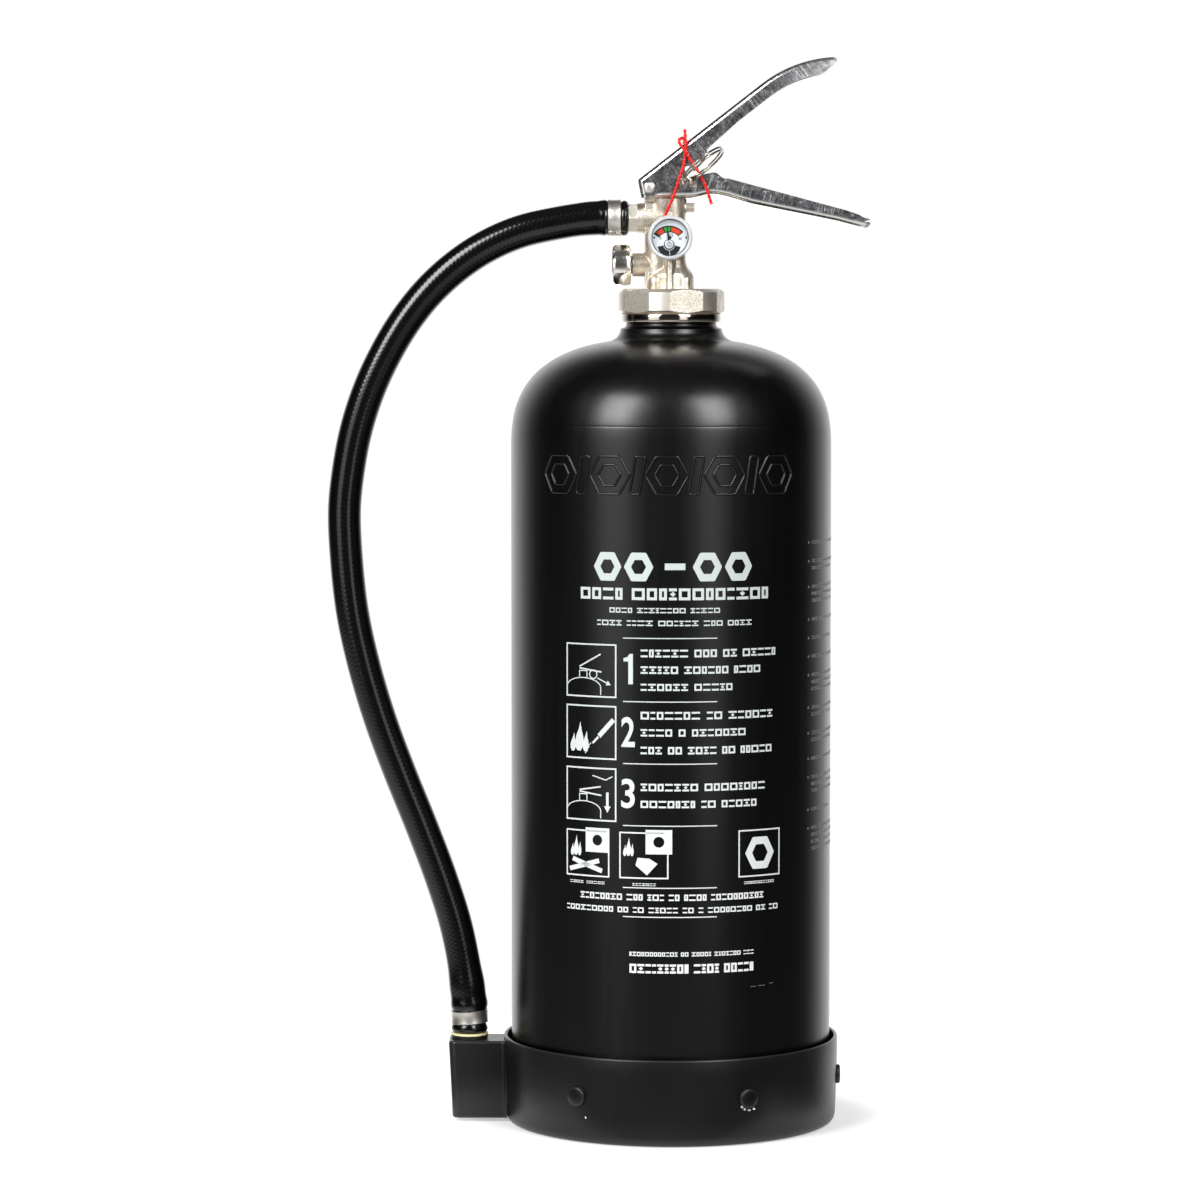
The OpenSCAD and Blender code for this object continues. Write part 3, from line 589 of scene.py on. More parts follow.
M = {
    "jacket": jacket_plastic(),
    "skirt": skirt_plastic(),
    "rivet": skirt_plastic("rivet_plastic", 0.5),
    "casting": nickel("nickel_casting", (0.83, 0.78, 0.69), (0.60, 0.51, 0.39), 0.38, 0.80, 0.18, pits=0.6,
                      wave=0.36, hollow_shade=0.75),
    "blasted": nickel("blasted_nickel", (0.88, 0.83, 0.745), (0.74, 0.67, 0.56), 0.44, 0.85, 0.26,
                      pits=0.75),
    "turned": nickel("nickel_turned", (0.95, 0.91, 0.83), (0.88, 0.82, 0.71), 0.26, 1.4, 0.002),
    "corner": nickel("corner_nickel", (0.91, 0.865, 0.78), (0.82, 0.755, 0.65), 0.42, 1.2, 0.004),
    "polished": nickel("polished_nickel", (0.60, 0.55, 0.48), (0.34, 0.29, 0.23), 0.10, 2.5, 0.003),
    "rivet_nickel": nickel("rivet_nickel", (0.80, 0.79, 0.77), (0.62, 0.60, 0.57), 0.40, 0.8, 0.03,
                           pits=0.2),
    "brass": nickel("brass", (0.80, 0.62, 0.30), (0.62, 0.44, 0.19), 0.24, 0.9, 0.01),
    "chrome": steel("chrome", (0.93, 0.93, 0.93), (0.82, 0.81, 0.80), 0.09, size=6, depth=0.002),
    "cap_chrome": nickel("cap_chrome", (0.96, 0.93, 0.88), (0.86, 0.80, 0.70), 0.19, 2.2, 0.004, wave=0.08),
    "lever_steel": pressed_steel("lever_steel", 37.7, 0.050),
    "handle_steel": pressed_steel("handle_steel", -14.5),
    "wire": steel("wire_steel", (0.64, 0.59, 0.51), (0.17, 0.14, 0.11), 0.16, size=2.5, depth=0.002),
    "pin_wire": steel("pin_steel", (0.90, 0.84, 0.74), (0.66, 0.58, 0.46), 0.26, size=2.0, depth=0.004),
    "spring": steel("spring_steel", (0.72, 0.72, 0.73), (0.5, 0.5, 0.52), 0.25),
    "clamp": steel("clamp_steel", (0.80, 0.77, 0.72), (0.56, 0.53, 0.48), 0.40, size=0.5, depth=0.02),
    "dark_screw": steel("dark_screw", (0.10, 0.10, 0.10), (0.04, 0.04, 0.04), 0.3),
    "hose": hose_rubber(),
    "rubber": rubber("black_rubber", (0.006, 0.006, 0.006), (0.012, 0.012, 0.011), 0.5),
    "liner": plain("liner_plastic", (0.74, 0.73, 0.68), (0.82, 0.81, 0.77), 0.42, 9, Subsurface_Weight=0.1),
    "tube": plain("tube_plastic", (0.80, 0.80, 0.76), (0.88, 0.88, 0.85), 0.35, 6, Subsurface_Weight=0.1),
    "nozzle": plain("nozzle_plastic", (0.009, 0.009, 0.009), (0.015, 0.015, 0.015), 0.4),
    "strainer": plain("strainer_plastic", (0.02, 0.02, 0.021), (0.035, 0.035, 0.035), 0.5),
    "cream": plain("ring_cream", (0.93, 0.83, 0.36), (0.97, 0.92, 0.60), 0.45, 2.0),
    "seal": plain("seal_red", (0.72, 0.007, 0.003), (0.80, 0.015, 0.006), 0.40, 1.5,
                  Specular_IOR_Level=0.35),
    "dial": plain("dial_face", (0.74, 0.765, 0.80), (0.78, 0.80, 0.83), 0.45, 4.0, 0.004),
    "ink_black": plain("dial_black", (0.010, 0.010, 0.011), (0.022, 0.022, 0.022), 0.4, 1.0, 0.004),
    "ink_red": plain("dial_red", (0.66, 0.045, 0.012), (0.74, 0.065, 0.02), 0.4, 1.0, 0.004),
    "ink_green": plain("dial_green", (0.018, 0.26, 0.035), (0.03, 0.34, 0.06), 0.4, 1.0, 0.004),
    "print": label_print(),
    "print_dim": plain("label_small_print", (0.16, 0.165, 0.165), (0.24, 0.245, 0.24), 0.5, 5.0, 0.006),
    "window": clear_sheet("gauge_window", (0.975, 0.985, 0.99), 0.6),
    "clear": clear_sheet("clear_plastic", (0.95, 0.955, 0.965), 0.80, (-1.0, 498.0),
                         ((12.40, 0.16, 0.42), (11.75, 0.13, 0.38), (11.15, 0.10, 0.50)), milk=0.5),
    "aramid": aramid(),
    "hub": plain("hub_satin", (0.66, 0.67, 0.68), (0.72, 0.72, 0.73), 0.30, 3.0, 0.004, metal=0.35),
}


# ---------------------------------------------------------------- cords first: the hose and the tamper seal

HOSE_D = 18.8
HOSE_ROUTE = [(-24, 509), (-44, 509), (-65, 506), (-86, 501), (-105, 492.5), (-122, 481), (-137, 467),
              (-150, 450.5), (-161, 432), (-170, 412.5), (-177, 391), (-181.4, 369), (-183.85, 346),
              (-182.9, 318), (-179.5, 287), (-173, 257), (-164, 226.5), (-153, 196.5), (-141, 166.5),
              (-130, 137), (-121.5, 109.5), (-116.2, 82), (-114, 62), (-114, 48.8)]
HOSE_AROUND, HOSE_EDGE = 56, 1.1
CLAMP_H, TOP_CLAMP_X, LOW_CLAMP_Z = 7.3, -35.6, 54.3


def bell(x, centre, width):
    return math.exp(-((x - centre) / width) ** 2)


def hose_radius(length):
    """Radius along the hose: pinched under each clamp, swollen beside it, rounded at both ends."""
    def radius(s, a):
        e = length - s
        r = HOSE_D / 2 + 0.62 * bell(s, 2.4, 1.5) + 0.60 * bell(s, 13.6, 2.2) + 0.28 * bell(s, 20, 6)
        r += 0.95 * bell(e, 2.6, 2.0) + 0.85 * bell(e, 16.0, 3.4) + 0.75 * bell(e, 26, 9)
        r += 0.07 * math.sin(5 * a + 0.31 * s) * (bell(s, 15, 6) + bell(e, 18, 8))
        for end, centre in ((s, 8.0), (e, 9.2)):
            r -= 0.45 * max(0.0, 1 - (abs(end - centre) / 4.2) ** 6) if abs(end - centre) < 4.2 else 0.0
        for end in (s, e):
            if end < HOSE_EDGE:
                r -= HOSE_EDGE - math.sqrt(max(0.0, HOSE_EDGE ** 2 - (HOSE_EDGE - end) ** 2))
        return r
    return radius


hose_path, hose_length = curve_points([(x, 0, z) for x, z in HOSE_ROUTE], 0.9)
hose_points, hose_faces = tube(hose_path, hose_radius(hose_length), HOSE_AROUND, caps=False)
rows = len(hose_path)
# open ends: the wall turns in to the bore and goes 6 mm down it
for end, sign in ((0, 1), (rows - 1, -1)):
    inner = len(hose_points)
    first = min(end, rows - 2)
    t = (hose_path[first + 1] - hose_path[first]).normalized()
    side, up = frames_along([hose_path[end], hose_path[end] + t], (0, 1, 0))[0]
    for r, depth in ((6.4, 0.2), (6.0, 6.0)):
        for k in range(HOSE_AROUND):
            a = 2 * math.pi * k / HOSE_AROUND
            hose_points.append(hose_path[end] + t * (sign * depth)
                               + side * (r * math.cos(a)) + up * (r * math.sin(a)))
    hose_faces += belt(end * HOSE_AROUND, inner, HOSE_AROUND) + belt(inner, inner + HOSE_AROUND, HOSE_AROUND)
    hose_faces.append(tuple(inner + HOSE_AROUND + k for k in range(HOSE_AROUND)))
hose = piece("hose_tube", (hose_points, hose_faces), M["hose"], body=None, smooth=50, weld=None)
# the hose's own coordinates: u is the distance along it, v is the turn round it
uv = hose.data.uv_layers.new(name="along")
for loop in hose.data.loops:
    row, k = divmod(loop.vertex_index, HOSE_AROUND)
    uv.data[loop.index].uv = (min(row, rows - 1) * hose_length / (rows - 1) / HOSE_U, k / HOSE_AROUND)
for poly in hose.data.polygons:  # close the seam of the last column
    vs = [uv.data[i].uv[1] for i in poly.loop_indices]
    if max(vs) - min(vs) > 0.5:
        for i in poly.loop_indices:
            if uv.data[i].uv[1] < 0.5:
                uv.data[i].uv[1] += 1.0
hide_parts("hose")

SEAL_D, BEAD, TWIST = 1.6, 2.3, 3.4
SEAL_ROUTE = [(7.2, -14.2, 558.2), (7.6, -14.1, 552), (7.5, -14, 546), (6.4, -14, 538), (3.6, -14, 529),
              (0.6, -13.6, 520), (-1.6, -12, 515), (-3.6, -10, 510.5), (-6.4, -9.6, 505), (-8, -9.5, 499),
              (-6.8, -9.6, 493.6), (-1, -9.8, 490.2), (5, -9, 491), (9, -5.5, 493), (10, 0, 496),
              (9, 6, 500), (6.5, 9.8, 506), (5, 12.8, 513), (5, 14.2, 521), (6, 14.3, 530),
              (6.6, 14.3, 540), (7.2, 14.3, 549), (7.5, 13.2, 552.6), (7.6, 8, 553.3), (7.6, 2, 553.3),
              (7.5, -5, 553.3), (7, -9, 553.3), (6, -12.2, 553.3), (4.8, -14.3, 553), (4, -15.4, 552),
              (4.3, -16.0, 550.3), (5.8, -16.1, 548), (7.8, -15.9, 545.4), (10, -15.1, 541.8),
              (13, -14.2, 537.4), (16, -14, 532.4), (19.2, -14, 525.6), (22.2, -14, 516.6)]


def seal_radius(s, a):
    """Beads with a twist: two strands wound together, with a small knuckle each pitch."""
    return 0.63 + 0.26 * abs(math.sin(math.pi * s / BEAD)) + 0.09 * math.cos(2 * a + 2 * math.pi * s / TWIST)


seal_path, seal_length = curve_points(SEAL_ROUTE, 0.24)
seal = piece("seal_cord", tube(seal_path, seal_radius, 12, first=(1, 0, 0)), M["seal"], smooth=70,
             replaces=["tamper_seal"])


# ---------------------------------------------------------------- cylinder

BODY_R, SHOULDER_Z, SHOULDER_H, POWER = 90.0, 379.0, 63.0, 2.7
BOTTOM_Z, BOTTOM_H, WALL = 30.0, 24.0, 2.6
NECK_R, JOINT_Z = 22.6, 394.6


def dome(a, b, r_end, steps):
    """A quarter of a fuller than round oval, a wide and b high, in from its side to radius r_end."""
    last = math.acos((r_end / a) ** (POWER / 2))
    return [(a * math.cos(last * i / steps) ** (2 / POWER), b * math.sin(last * i / steps) ** (2 / POWER))
            for i in range(steps + 1)]


outer = [(r, BOTTOM_Z - h) for r, h in reversed(dome(BODY_R, BOTTOM_H, 0.0, 24))]
high = [(r, SHOULDER_Z + h) for r, h in dome(BODY_R, SHOULDER_H, 34.5, 72)]
high = [p for p in high if abs(p[1] - JOINT_Z) > 0.9]
for dz, depth in ((-0.8, 0), (-0.42, 0.01), (-0.15, 0.07), (0.15, 0.07), (0.42, 0.0), (0.8, -0.01)):
    z = JOINT_Z + dz
    high.append((BODY_R * (1 - ((z - SHOULDER_Z) / SHOULDER_H) ** POWER) ** (1 / POWER) - depth, z))
high.sort(key=lambda p: p[1])
outer += [(BODY_R, z) for z in (60, 120, 180, 240, 300, 350)] + high
outer += [(33.0, 440.75), (31.8, 441.45), (30.7, 442.35), (29.8, 443.4), (29.1, 444.5), (28.7, 445.5),
          (28.5, 446.3), (28.45, 446.9), (28.2, 447.3), (27.7, 447.55), (26.9, 447.7), (26.0, 448.1),
          (25.5, 448.8), (25.3, 449.6), (25.25, 450.3), (25.0, 450.7), (24.7, 450.8), (NECK_R, 450.8)]
inner_low = [(r, BOTTOM_Z - h) for r, h in reversed(dome(BODY_R - WALL, BOTTOM_H - WALL, 0.0, 16))]
inner_high = [(r, SHOULDER_Z + h) for r, h in dome(BODY_R - WALL, SHOULDER_H - WALL, NECK_R, 24)]
piece("jacket_shell", lathe(outer + list(reversed(inner_low + inner_high)), 224), M["jacket"],
      replaces=["cylinder_jacket"], smooth=40)


def wrap(s, z, r):
    """A point of the flat label, s mm round from the front and z mm up, on the cylinder at radius r."""
    a = s / BODY_R
    return (r * math.sin(a), -r * math.cos(a), z)


def rounded(points, radius):
    """A closed outline with its corners rounded."""
    out = []
    n, steps = len(points), 4
    for i in range(n):
        p = Vector(points[i])
        a, b = (Vector(points[i - 1]) - p), (Vector(points[(i + 1) % n]) - p)
        half = a.angle(b) / 2
        cut = min(radius / math.tan(half), a.length * 0.45, b.length * 0.45)
        pa, pb = p + a.normalized() * cut, p + b.normalized() * cut
        for k in range(steps + 1):
            t = k / steps
            out.append(tuple(pa * (1 - t) ** 2 + p * (2 * t * (1 - t)) + pb * t ** 2))
    return out


def dense(points, step):
    """A closed outline with no edge longer than step."""
    out = []
    for a, b in zip(points, points[1:] + points[:1]):
        n = max(1, math.ceil(math.hypot(b[0] - a[0], b[1] - a[1]) / step))
        out += [(a[0] + (b[0] - a[0]) * k / n, a[1] + (b[1] - a[1]) * k / n) for k in range(n)]
    return out


def ridge(outline):
    """A raised round bead along a closed outline on the cylinder."""
    half, proud = 0.75, 0.85
    pts = dense(outline, 1.2)
    n = len(pts)
    section = [(-half, -0.35), (-half * 0.92, 0.12), (-half * 0.62, proud * 0.75), (-half * 0.2, proud),
               (half * 0.2, proud), (half * 0.62, proud * 0.75), (half * 0.92, 0.12), (half, -0.35)]
    rings = []
    for i in range(n):
        t = Vector(pts[(i + 1) % n]) - Vector(pts[i - 1])
        t.normalize()
        rings.append([wrap(pts[i][0] - t.y * u, pts[i][1] + t.x * u, BODY_R + h) for u, h in section])
    return skin(rings, loop=True)


def hexagon(s, z, w, h, corner):
    """A hexagon with a rounded point at each side."""
    half, quarter, rise = w / 2, w / 4, h / 2
    return rounded([(s - half, z), (s - quarter, z + rise), (s + quarter, z + rise), (s + half, z),
                    (s + quarter, z - rise), (s - quarter, z - rise)], corner)


def slant(s, z, w, h, lean):
    """A leaning bar."""
    low, high = s - lean / 2, s + lean / 2
    return [(low - w / 2, z - h / 2), (low + w / 2, z - h / 2),
            (high + w / 2, z + h / 2), (high - w / 2, z + h / 2)]


BAND_Z, BAND_H, BAND_START, BAND_STEP, BAND_COUNT = 368.3, 20.6, -68.2, 32.25, 5
BAR_AT = 16.1
band = []
for k in range(BAND_COUNT):
    s = BAND_START + k * BAND_STEP
    band.append(ridge(hexagon(s, BAND_Z, 23.6, BAND_H, 2.2)))
    band.append(ridge(hexagon(s, BAND_Z, 13.2, BAND_H - 9.2, 1.4)))
    if k < BAND_COUNT - 1:
        band.append(ridge(rounded(slant(s + BAR_AT, BAND_Z, 5.4, BAND_H, 3.4), 1.4)))
piece("raised_band", joined(*band), M["jacket"], smooth=60)


# ---------------------------------------------------------------- printed label, as thin raised ink

INK_STRIP, INK_ROOT = 2.5, 0.15


class Ink:
    """Flat shapes in label coordinates that become thin ink on the cylinder."""

    def __init__(self):
        self.polys = []

    def fill(self, loops):
        """An outline, or a list of an outline and its holes."""
        loops = [loops] if not isinstance(loops[0][0], (list, tuple)) else loops
        flat = [p for loop in loops for p in loop]
        for tri in tessellate_polygon([[Vector((x, y, 0)) for x, y in loop] for loop in loops]):
            self.polys.append([flat[i] for i in tri])

    def bar(self, s0, z0, s1, z1):
        self.polys.append([(s0, z0), (s1, z0), (s1, z1), (s0, z1)])

    def stroke(self, points, width, closed=False):
        """A line of constant width along points."""
        n = len(points)
        left, right = [], []
        for i in range(n):
            a = Vector(points[i - 1]) if (i or closed) else None
            b = Vector(points[(i + 1) % n]) if (i < n - 1 or closed) else None
            p = Vector(points[i])
            d1 = (p - a).normalized() if a is not None else (b - p).normalized()
            d2 = (b - p).normalized() if b is not None else d1
            m = d1 + d2
            m = m.normalized() if m.length > 1e-6 else d1
            k = width / 2 / max(0.4, m.dot(d1))
            left.append((p.x - m.y * k, p.y + m.x * k))
            right.append((p.x + m.y * k, p.y - m.x * k))
        for i in range(n if closed else n - 1):
            j = (i + 1) % n
            self.polys.append([left[i], right[i], right[j], left[j]])

    def glyph(self, s0, z0, s1, z1):
        """One plain mark: a frame, two bars one over the other, or a filled diamond between bars."""
        line = (z1 - z0) * 0.24
        kind = rng.choice((0, 0, 1, 2))
        self.bar(s0, z0, s1, z0 + line)
        self.bar(s0, z1 - line, s1, z1)
        if kind == 0:
            self.bar(s0, z0 + line, s0 + line, z1 - line)
            self.bar(s1 - line, z0 + line, s1, z1 - line)
        if kind == 2:
            mid_s, mid_z = (s0 + s1) / 2, (z0 + z1) / 2
            self.polys.append([(mid_s - line, mid_z), (mid_s, mid_z - line * 0.9), (mid_s + line, mid_z),
                               (mid_s, mid_z + line * 0.9)])

    def words(self, s0, s1, z0, z1, counts, tall=0.58):
        """A line of words as rows of small plain marks, which say nothing."""
        cells = sum(counts) + 0.62 * (len(counts) - 1)
        cell = (s1 - s0) / cells
        mid, half = (z0 + z1) / 2, (z1 - z0) * tall / 2
        s = s0
        for count in counts:
            weights = [rng.choice((0.72, 0.9, 1.0, 1.0, 1.12)) for _ in range(count)]
            k = count * cell / sum(weights)
            for w in weights:
                self.glyph(s + cell * 0.07, mid - half, s + w * k - cell * 0.10, mid + half)
                s += w * k
            s += cell * 0.62

    def numeral(self, text, s0, s1, z0, z1):
        """A generic number, fitted to a box."""
        curve = bpy.data.curves.new("numeral", "FONT")
        curve.body, curve.offset, curve.resolution_u = text, 0.018, 6
        obj = linked("numeral", curve)
        mesh = obj.evaluated_get(bpy.context.evaluated_depsgraph_get()).to_mesh()
        co = [v.co.copy() for v in mesh.vertices]
        lo = [min(c[i] for c in co) for i in (0, 1)]
        hi = [max(c[i] for c in co) for i in (0, 1)]
        put = [(s0 + (c.x - lo[0]) / (hi[0] - lo[0]) * (s1 - s0),
                z0 + (c.y - lo[1]) / (hi[1] - lo[1]) * (z1 - z0)) for c in co]
        for p in mesh.polygons:
            self.polys.append([put[i] for i in p.vertices])
        bpy.data.objects.remove(obj)

    def made(self, name, paint, proud=0.07, base_r=BODY_R):
        """The ink as a piece on the cylinder, cut into upright strips so that it bends with it."""
        bm = bmesh.new()
        for poly in self.polys:
            verts = [bm.verts.new((x, y, 0)) for x, y in poly]
            try:
                bm.faces.new(verts)
            except ValueError:
                pass
        bmesh.ops.remove_doubles(bm, verts=bm.verts, dist=1e-4)
        bmesh.ops.dissolve_degenerate(bm, edges=bm.edges, dist=1e-5)
        hi = max(v.co.x for v in bm.verts)
        cut = math.floor(min(v.co.x for v in bm.verts) / INK_STRIP) * INK_STRIP + INK_STRIP
        while cut < hi:
            bmesh.ops.bisect_plane(bm, geom=bm.verts[:] + bm.edges[:] + bm.faces[:], plane_co=(cut, 0, 0),
                                   plane_no=(1, 0, 0), dist=1e-4)
            cut += INK_STRIP
        for f in bm.faces:
            if f.normal.z < 0:
                f.normal_flip()
        top = bmesh.ops.extrude_face_region(bm, geom=bm.faces[:])
        raised = {v for v in top["geom"] if isinstance(v, bmesh.types.BMVert)}
        for v in bm.verts:
            v.co = Vector(wrap(v.co.x, v.co.y, base_r + (proud if v in raised else -INK_ROOT))) * MM
        bmesh.ops.recalc_face_normals(bm, faces=bm.faces)
        mesh = bpy.data.meshes.new(name)
        bm.to_mesh(mesh)
        bm.free()
        mesh.materials.append(paint)
        mesh.set_sharp_from_angle(angle=math.radians(40))
        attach(linked(name, mesh), "root")


def flame(ink, s, z, w, h):
    """A plain flame: one tall tongue with a smaller one each side."""
    for ds, tall, wide in ((0, 1.0, 0.44), (-0.32, 0.62, 0.30), (0.32, 0.70, 0.30)):
        cs = s + ds * w
        left = [(cs - wide * w * 0.5 * math.sin(math.pi * min(1, t * 1.25) ** 0.7), z + h * tall * t)
                for t in (0.06, 0.2, 0.38, 0.58, 0.76)]
        right = [(cs + wide * w * 0.5 * math.sin(math.pi * min(1, t * 1.1) ** 0.8), z + h * tall * t)
                 for t in (0.7, 0.5, 0.32, 0.16, 0.04)]
        ink.fill(left + [(cs + 0.06 * w, z + h * tall)] + right)


def ring_outline(s, z, r):
    return [(s + r * cosd(18 * k), z + r * sind(18 * k)) for k in range(20)]


def arrow(ink, a, b, width, head):
    """A plain straight arrow."""
    a, b = Vector(a), Vector(b)
    d = (b - a).normalized()
    side = Vector((-d.y, d.x))
    neck = b - d * head
    ink.stroke([tuple(a), tuple(neck)], width)
    ink.fill([tuple(neck + side * head * 0.55), tuple(b), tuple(neck - side * head * 0.55)])


label = Ink()
# title: the same hexagon and bar as the raised band
for k, s in enumerate((-37.0, -19.2, 0.8, 18.6, 36.6)):
    if k == 2:
        label.bar(s - 5.6, 316.9, s + 5.6, 320.5)
    else:
        label.fill([hexagon(s, 318.5, 16.4, 15.6, 1.2), hexagon(s, 318.5, 8.4, 7.6, 0.8)[::-1]])
label.words(-54.0, 56.0, 299.2, 308.2, (4, 12), 0.72)
label.words(-36.0, 26.0, 292.4, 297.2, (4, 8, 5))
label.words(-43.4, 45.0, 285.3, 290.4, (4, 4, 6, 3, 4))
for z in (279.6, 244.9, 210.9, 176.9, 142.8, 126.8):
    label.bar(-27.9, z - 0.27, 24.2, z + 0.27)
label.fill([(-24.9, 254.4), (-22.3, 254.4), (-22.3, 271.0), (-24.3, 271.0), (-25.2, 269.3), (-27.6, 268.6),
            (-27.6, 266.8), (-24.9, 266.8)])  # the numeral 1
for number, z0, z1 in (("2", 220.0, 236.5), ("3", 186.4, 202.6)):
    label.numeral(number, -28.9, -21.2, z0, z1)
for s1, z0, z1, counts in (
        (61.0, 268.2, 274.6, (6, 3, 2, 5)), (50.6, 259.2, 265.4, (5, 6, 4)), (33.4, 250.0, 255.8, (6, 5)),
        (59.0, 234.2, 240.6, (7, 2, 6)), (41.4, 225.0, 231.0, (4, 1, 7)),
        (58.4, 215.2, 221.4, (3, 2, 4, 2, 5)),
        (53.8, 195.0, 201.2, (7, 8)), (48.4, 185.8, 191.8, (7, 2, 5))):
    label.words(-18.3, s1, z0, z1, counts, 0.66)
for z0, z1 in ((247.0, 275.6), (213.0, 241.8), (179.0, 207.6)):
    label.stroke([(-63.0, z0), (-32.1, z0), (-32.1, z1), (-63.0, z1)], 0.85, closed=True)


def shoulder(ink, s, z, handle_up):
    """A small plain vessel top with two handles."""
    ink.stroke([(s - 11, z)] + [(s - 11 * cosd(a), z + 4 + 5.2 * sind(a)) for a in range(0, 181, 15)]
               + [(s + 11, z)], 0.55)
    ink.stroke([(s - 2.4, z + 9.4), (s - 2.4, z + 13), (s + 2.4, z + 13), (s + 2.4, z + 9.4)], 0.55)
    ink.stroke([(s - 2.4, z + 14.4), (s + 11.5, z + 12.6)], 0.8)
    ink.stroke([(s - 2.4, z + 15.2), (s + 11.0, z + 15.4 + handle_up)], 0.8)


shoulder(label, -52.0, 248.0, 7.0)
label.stroke(ring_outline(-45.6, 259.2, 2.3), 0.6, closed=True)
arrow(label, (-43.0, 257.2), (-35.0, 253.6), 0.6, 2.6)
flame(label, -54.6, 216.0, 13.0, 17.0)
label.stroke([(-33.4, 234.6), (-42.0, 225.4)], 2.6)
label.stroke([(-42.4, 225.0), (-46.0, 221.4)], 1.2)
for k in range(3):
    label.stroke([(-46.9 - k * 1.1, 221.6 - k * 2.1), (-48.6 - k * 1.1, 219.8 - k * 2.1)], 0.45)
shoulder(label, -52.0, 180.2, 2.0)
arrow(label, (-37.0, 194.6), (-37.0, 183.4), 1.5, 3.6)
label.stroke([(-46.0, 203.6), (-38.0, 201.4), (-34.0, 203.4)], 0.6)
# class boxes with plain corner blocks
for s0, s1, top in ((-63.0, -36.2, 173.0), (-29.6, -3.0, 173.0), (37.2, 63.7, 173.4)):
    label.stroke([(s0, 148.2), (s1, 148.2), (s1, top), (s0, top)], 0.8, closed=True)
for s in (-50.4, -15.2):
    label.fill([[(s, 161.4), (s + 14.6, 161.4), (s + 14.6, 174.8), (s, 174.8)],
                ring_outline(s + 7.3, 168.1, 3.0)[::-1]])
flame(label, -56.8, 158.6, 7.6, 11.6)
label.stroke([(-61.0, 151.4), (-42.0, 156.8)], 2.6)
label.stroke([(-59.0, 157.2), (-40.2, 151.2)], 2.6)
flame(label, -24.8, 159.8, 6.4, 10.6)
label.fill([(-19.6, 159.4), (-13.2, 159.0), (-8.6, 156.2), (-14.4, 149.8), (-20.8, 155.2)])
label.fill([hexagon(50.4, 160.8, 19.0, 17.6, 1.2), hexagon(50.4, 160.8, 10.4, 9.4, 0.8)[::-1]])
label.words(-61.0, -38.4, 143.4, 145.9, (4, 5))
label.words(-22.8, -9.4, 143.4, 145.9, (7,))
label.words(40.2, 60.0, 143.4, 145.9, (10,))
label.words(-54.0, 53.0, 134.6, 140.6, (8, 3, 3, 2, 4, 10))
label.words(-63.2, 63.0, 128.0, 133.2, (9, 2, 2, 5, 2, 1, 8, 2, 2))
label.words(-24.4, 46.6, 104.4, 108.4, (12, 2, 5, 7, 3))
label.words(-24.4, 46.6, 95.0, 101.8, (9, 4, 5), 0.74)
label.made("label_ink", M["print"])

# small print along the side, in groups of lines that each start with a dot
small = Ink()
z = 330.0
for lines in (1, 2, 3, 1, 1, 1, 3, 2, 2, 1, 3, 1, 4):
    small.bar(88.6, z - 1.0, 89.9, z + 0.3)
    for n in range(lines):
        last = 168.0 if n < lines - 1 else rng.uniform(116.0, 160.0)
        counts = [rng.randint(3, 9) for _ in range(max(3, int((last - 92) / 9)))]
        small.words(92.6, last, z - 1.5, z + 0.9, counts, 0.7)
        z -= 3.9
    z -= 6.4
small.made("label_side_ink", M["print_dim"], 0.05)

flecks = Ink()
for s, z, w in ((44.4, 87.0, 3.4), (49.2, 87.2, 4.6), (57.0, 88.0, 2.6)):
    flecks.bar(s, z - 0.14, s + w, z + 0.14)
flecks.made("jacket_flecks", M["print_dim"], 0.03)

CHIPS_R = 94.08  # the drafted skirt's radius at their height
chips = Ink()
for s, z, w, h in ((36.6, 21.2, 1.6, 1.4), (38.2, 19.8, 1.5, 1.0), (40.6, 19.2, 2.2, 0.8),
                   (43.6, 19.6, 1.8, 0.9), (-48.6, 14.4, 0.9, 0.9)):
    chips.fill([(s, z), (s + w * 0.7, z - h * 0.4), (s + w, z + h * 0.3), (s + w * 0.5, z + h),
                (s + w * 0.1, z + h * 0.7)])
chips.made("skirt_chips", M["print"], 0.04, base_r=CHIPS_R)


# ---------------------------------------------------------------- base skirt with the nozzle pocket

SKIRT_R, SKIRT_WALL = 94.5, 2.2
skirt_in = SKIRT_R - SKIRT_WALL
skirt_line = [(0, 0), (89.8, 0), (91.0, 0.25), (92.0, 0.9), (92.75, 1.9), (93.2, 3.2), (93.4, 4.8),
              (93.9, 16), (94.3, 28), (SKIRT_R, 40), (SKIRT_R, 47.3), (94.4, 47.8), (94.1, 48.2),
              (93.6, 48.4), (93.0, 48.35), (92.55, 48.1), (92.35, 47.7), (skirt_in, 47.0), (skirt_in, 6.0),
              (91.8, 4.6), (91.0, 3.8), (88, 3.4), (0, 3.4)]
rib = [(38, 3.0), (38, 6.2), (38.4, 6.5), (41.6, 6.5), (42, 6.2), (42, 3.0)]

POCKET_X, POCKET_OUT, POCKET_HALF, POCKET_TOP, HOLE_R = 114.0, 125.5, 14.0, 45.6, 9.5


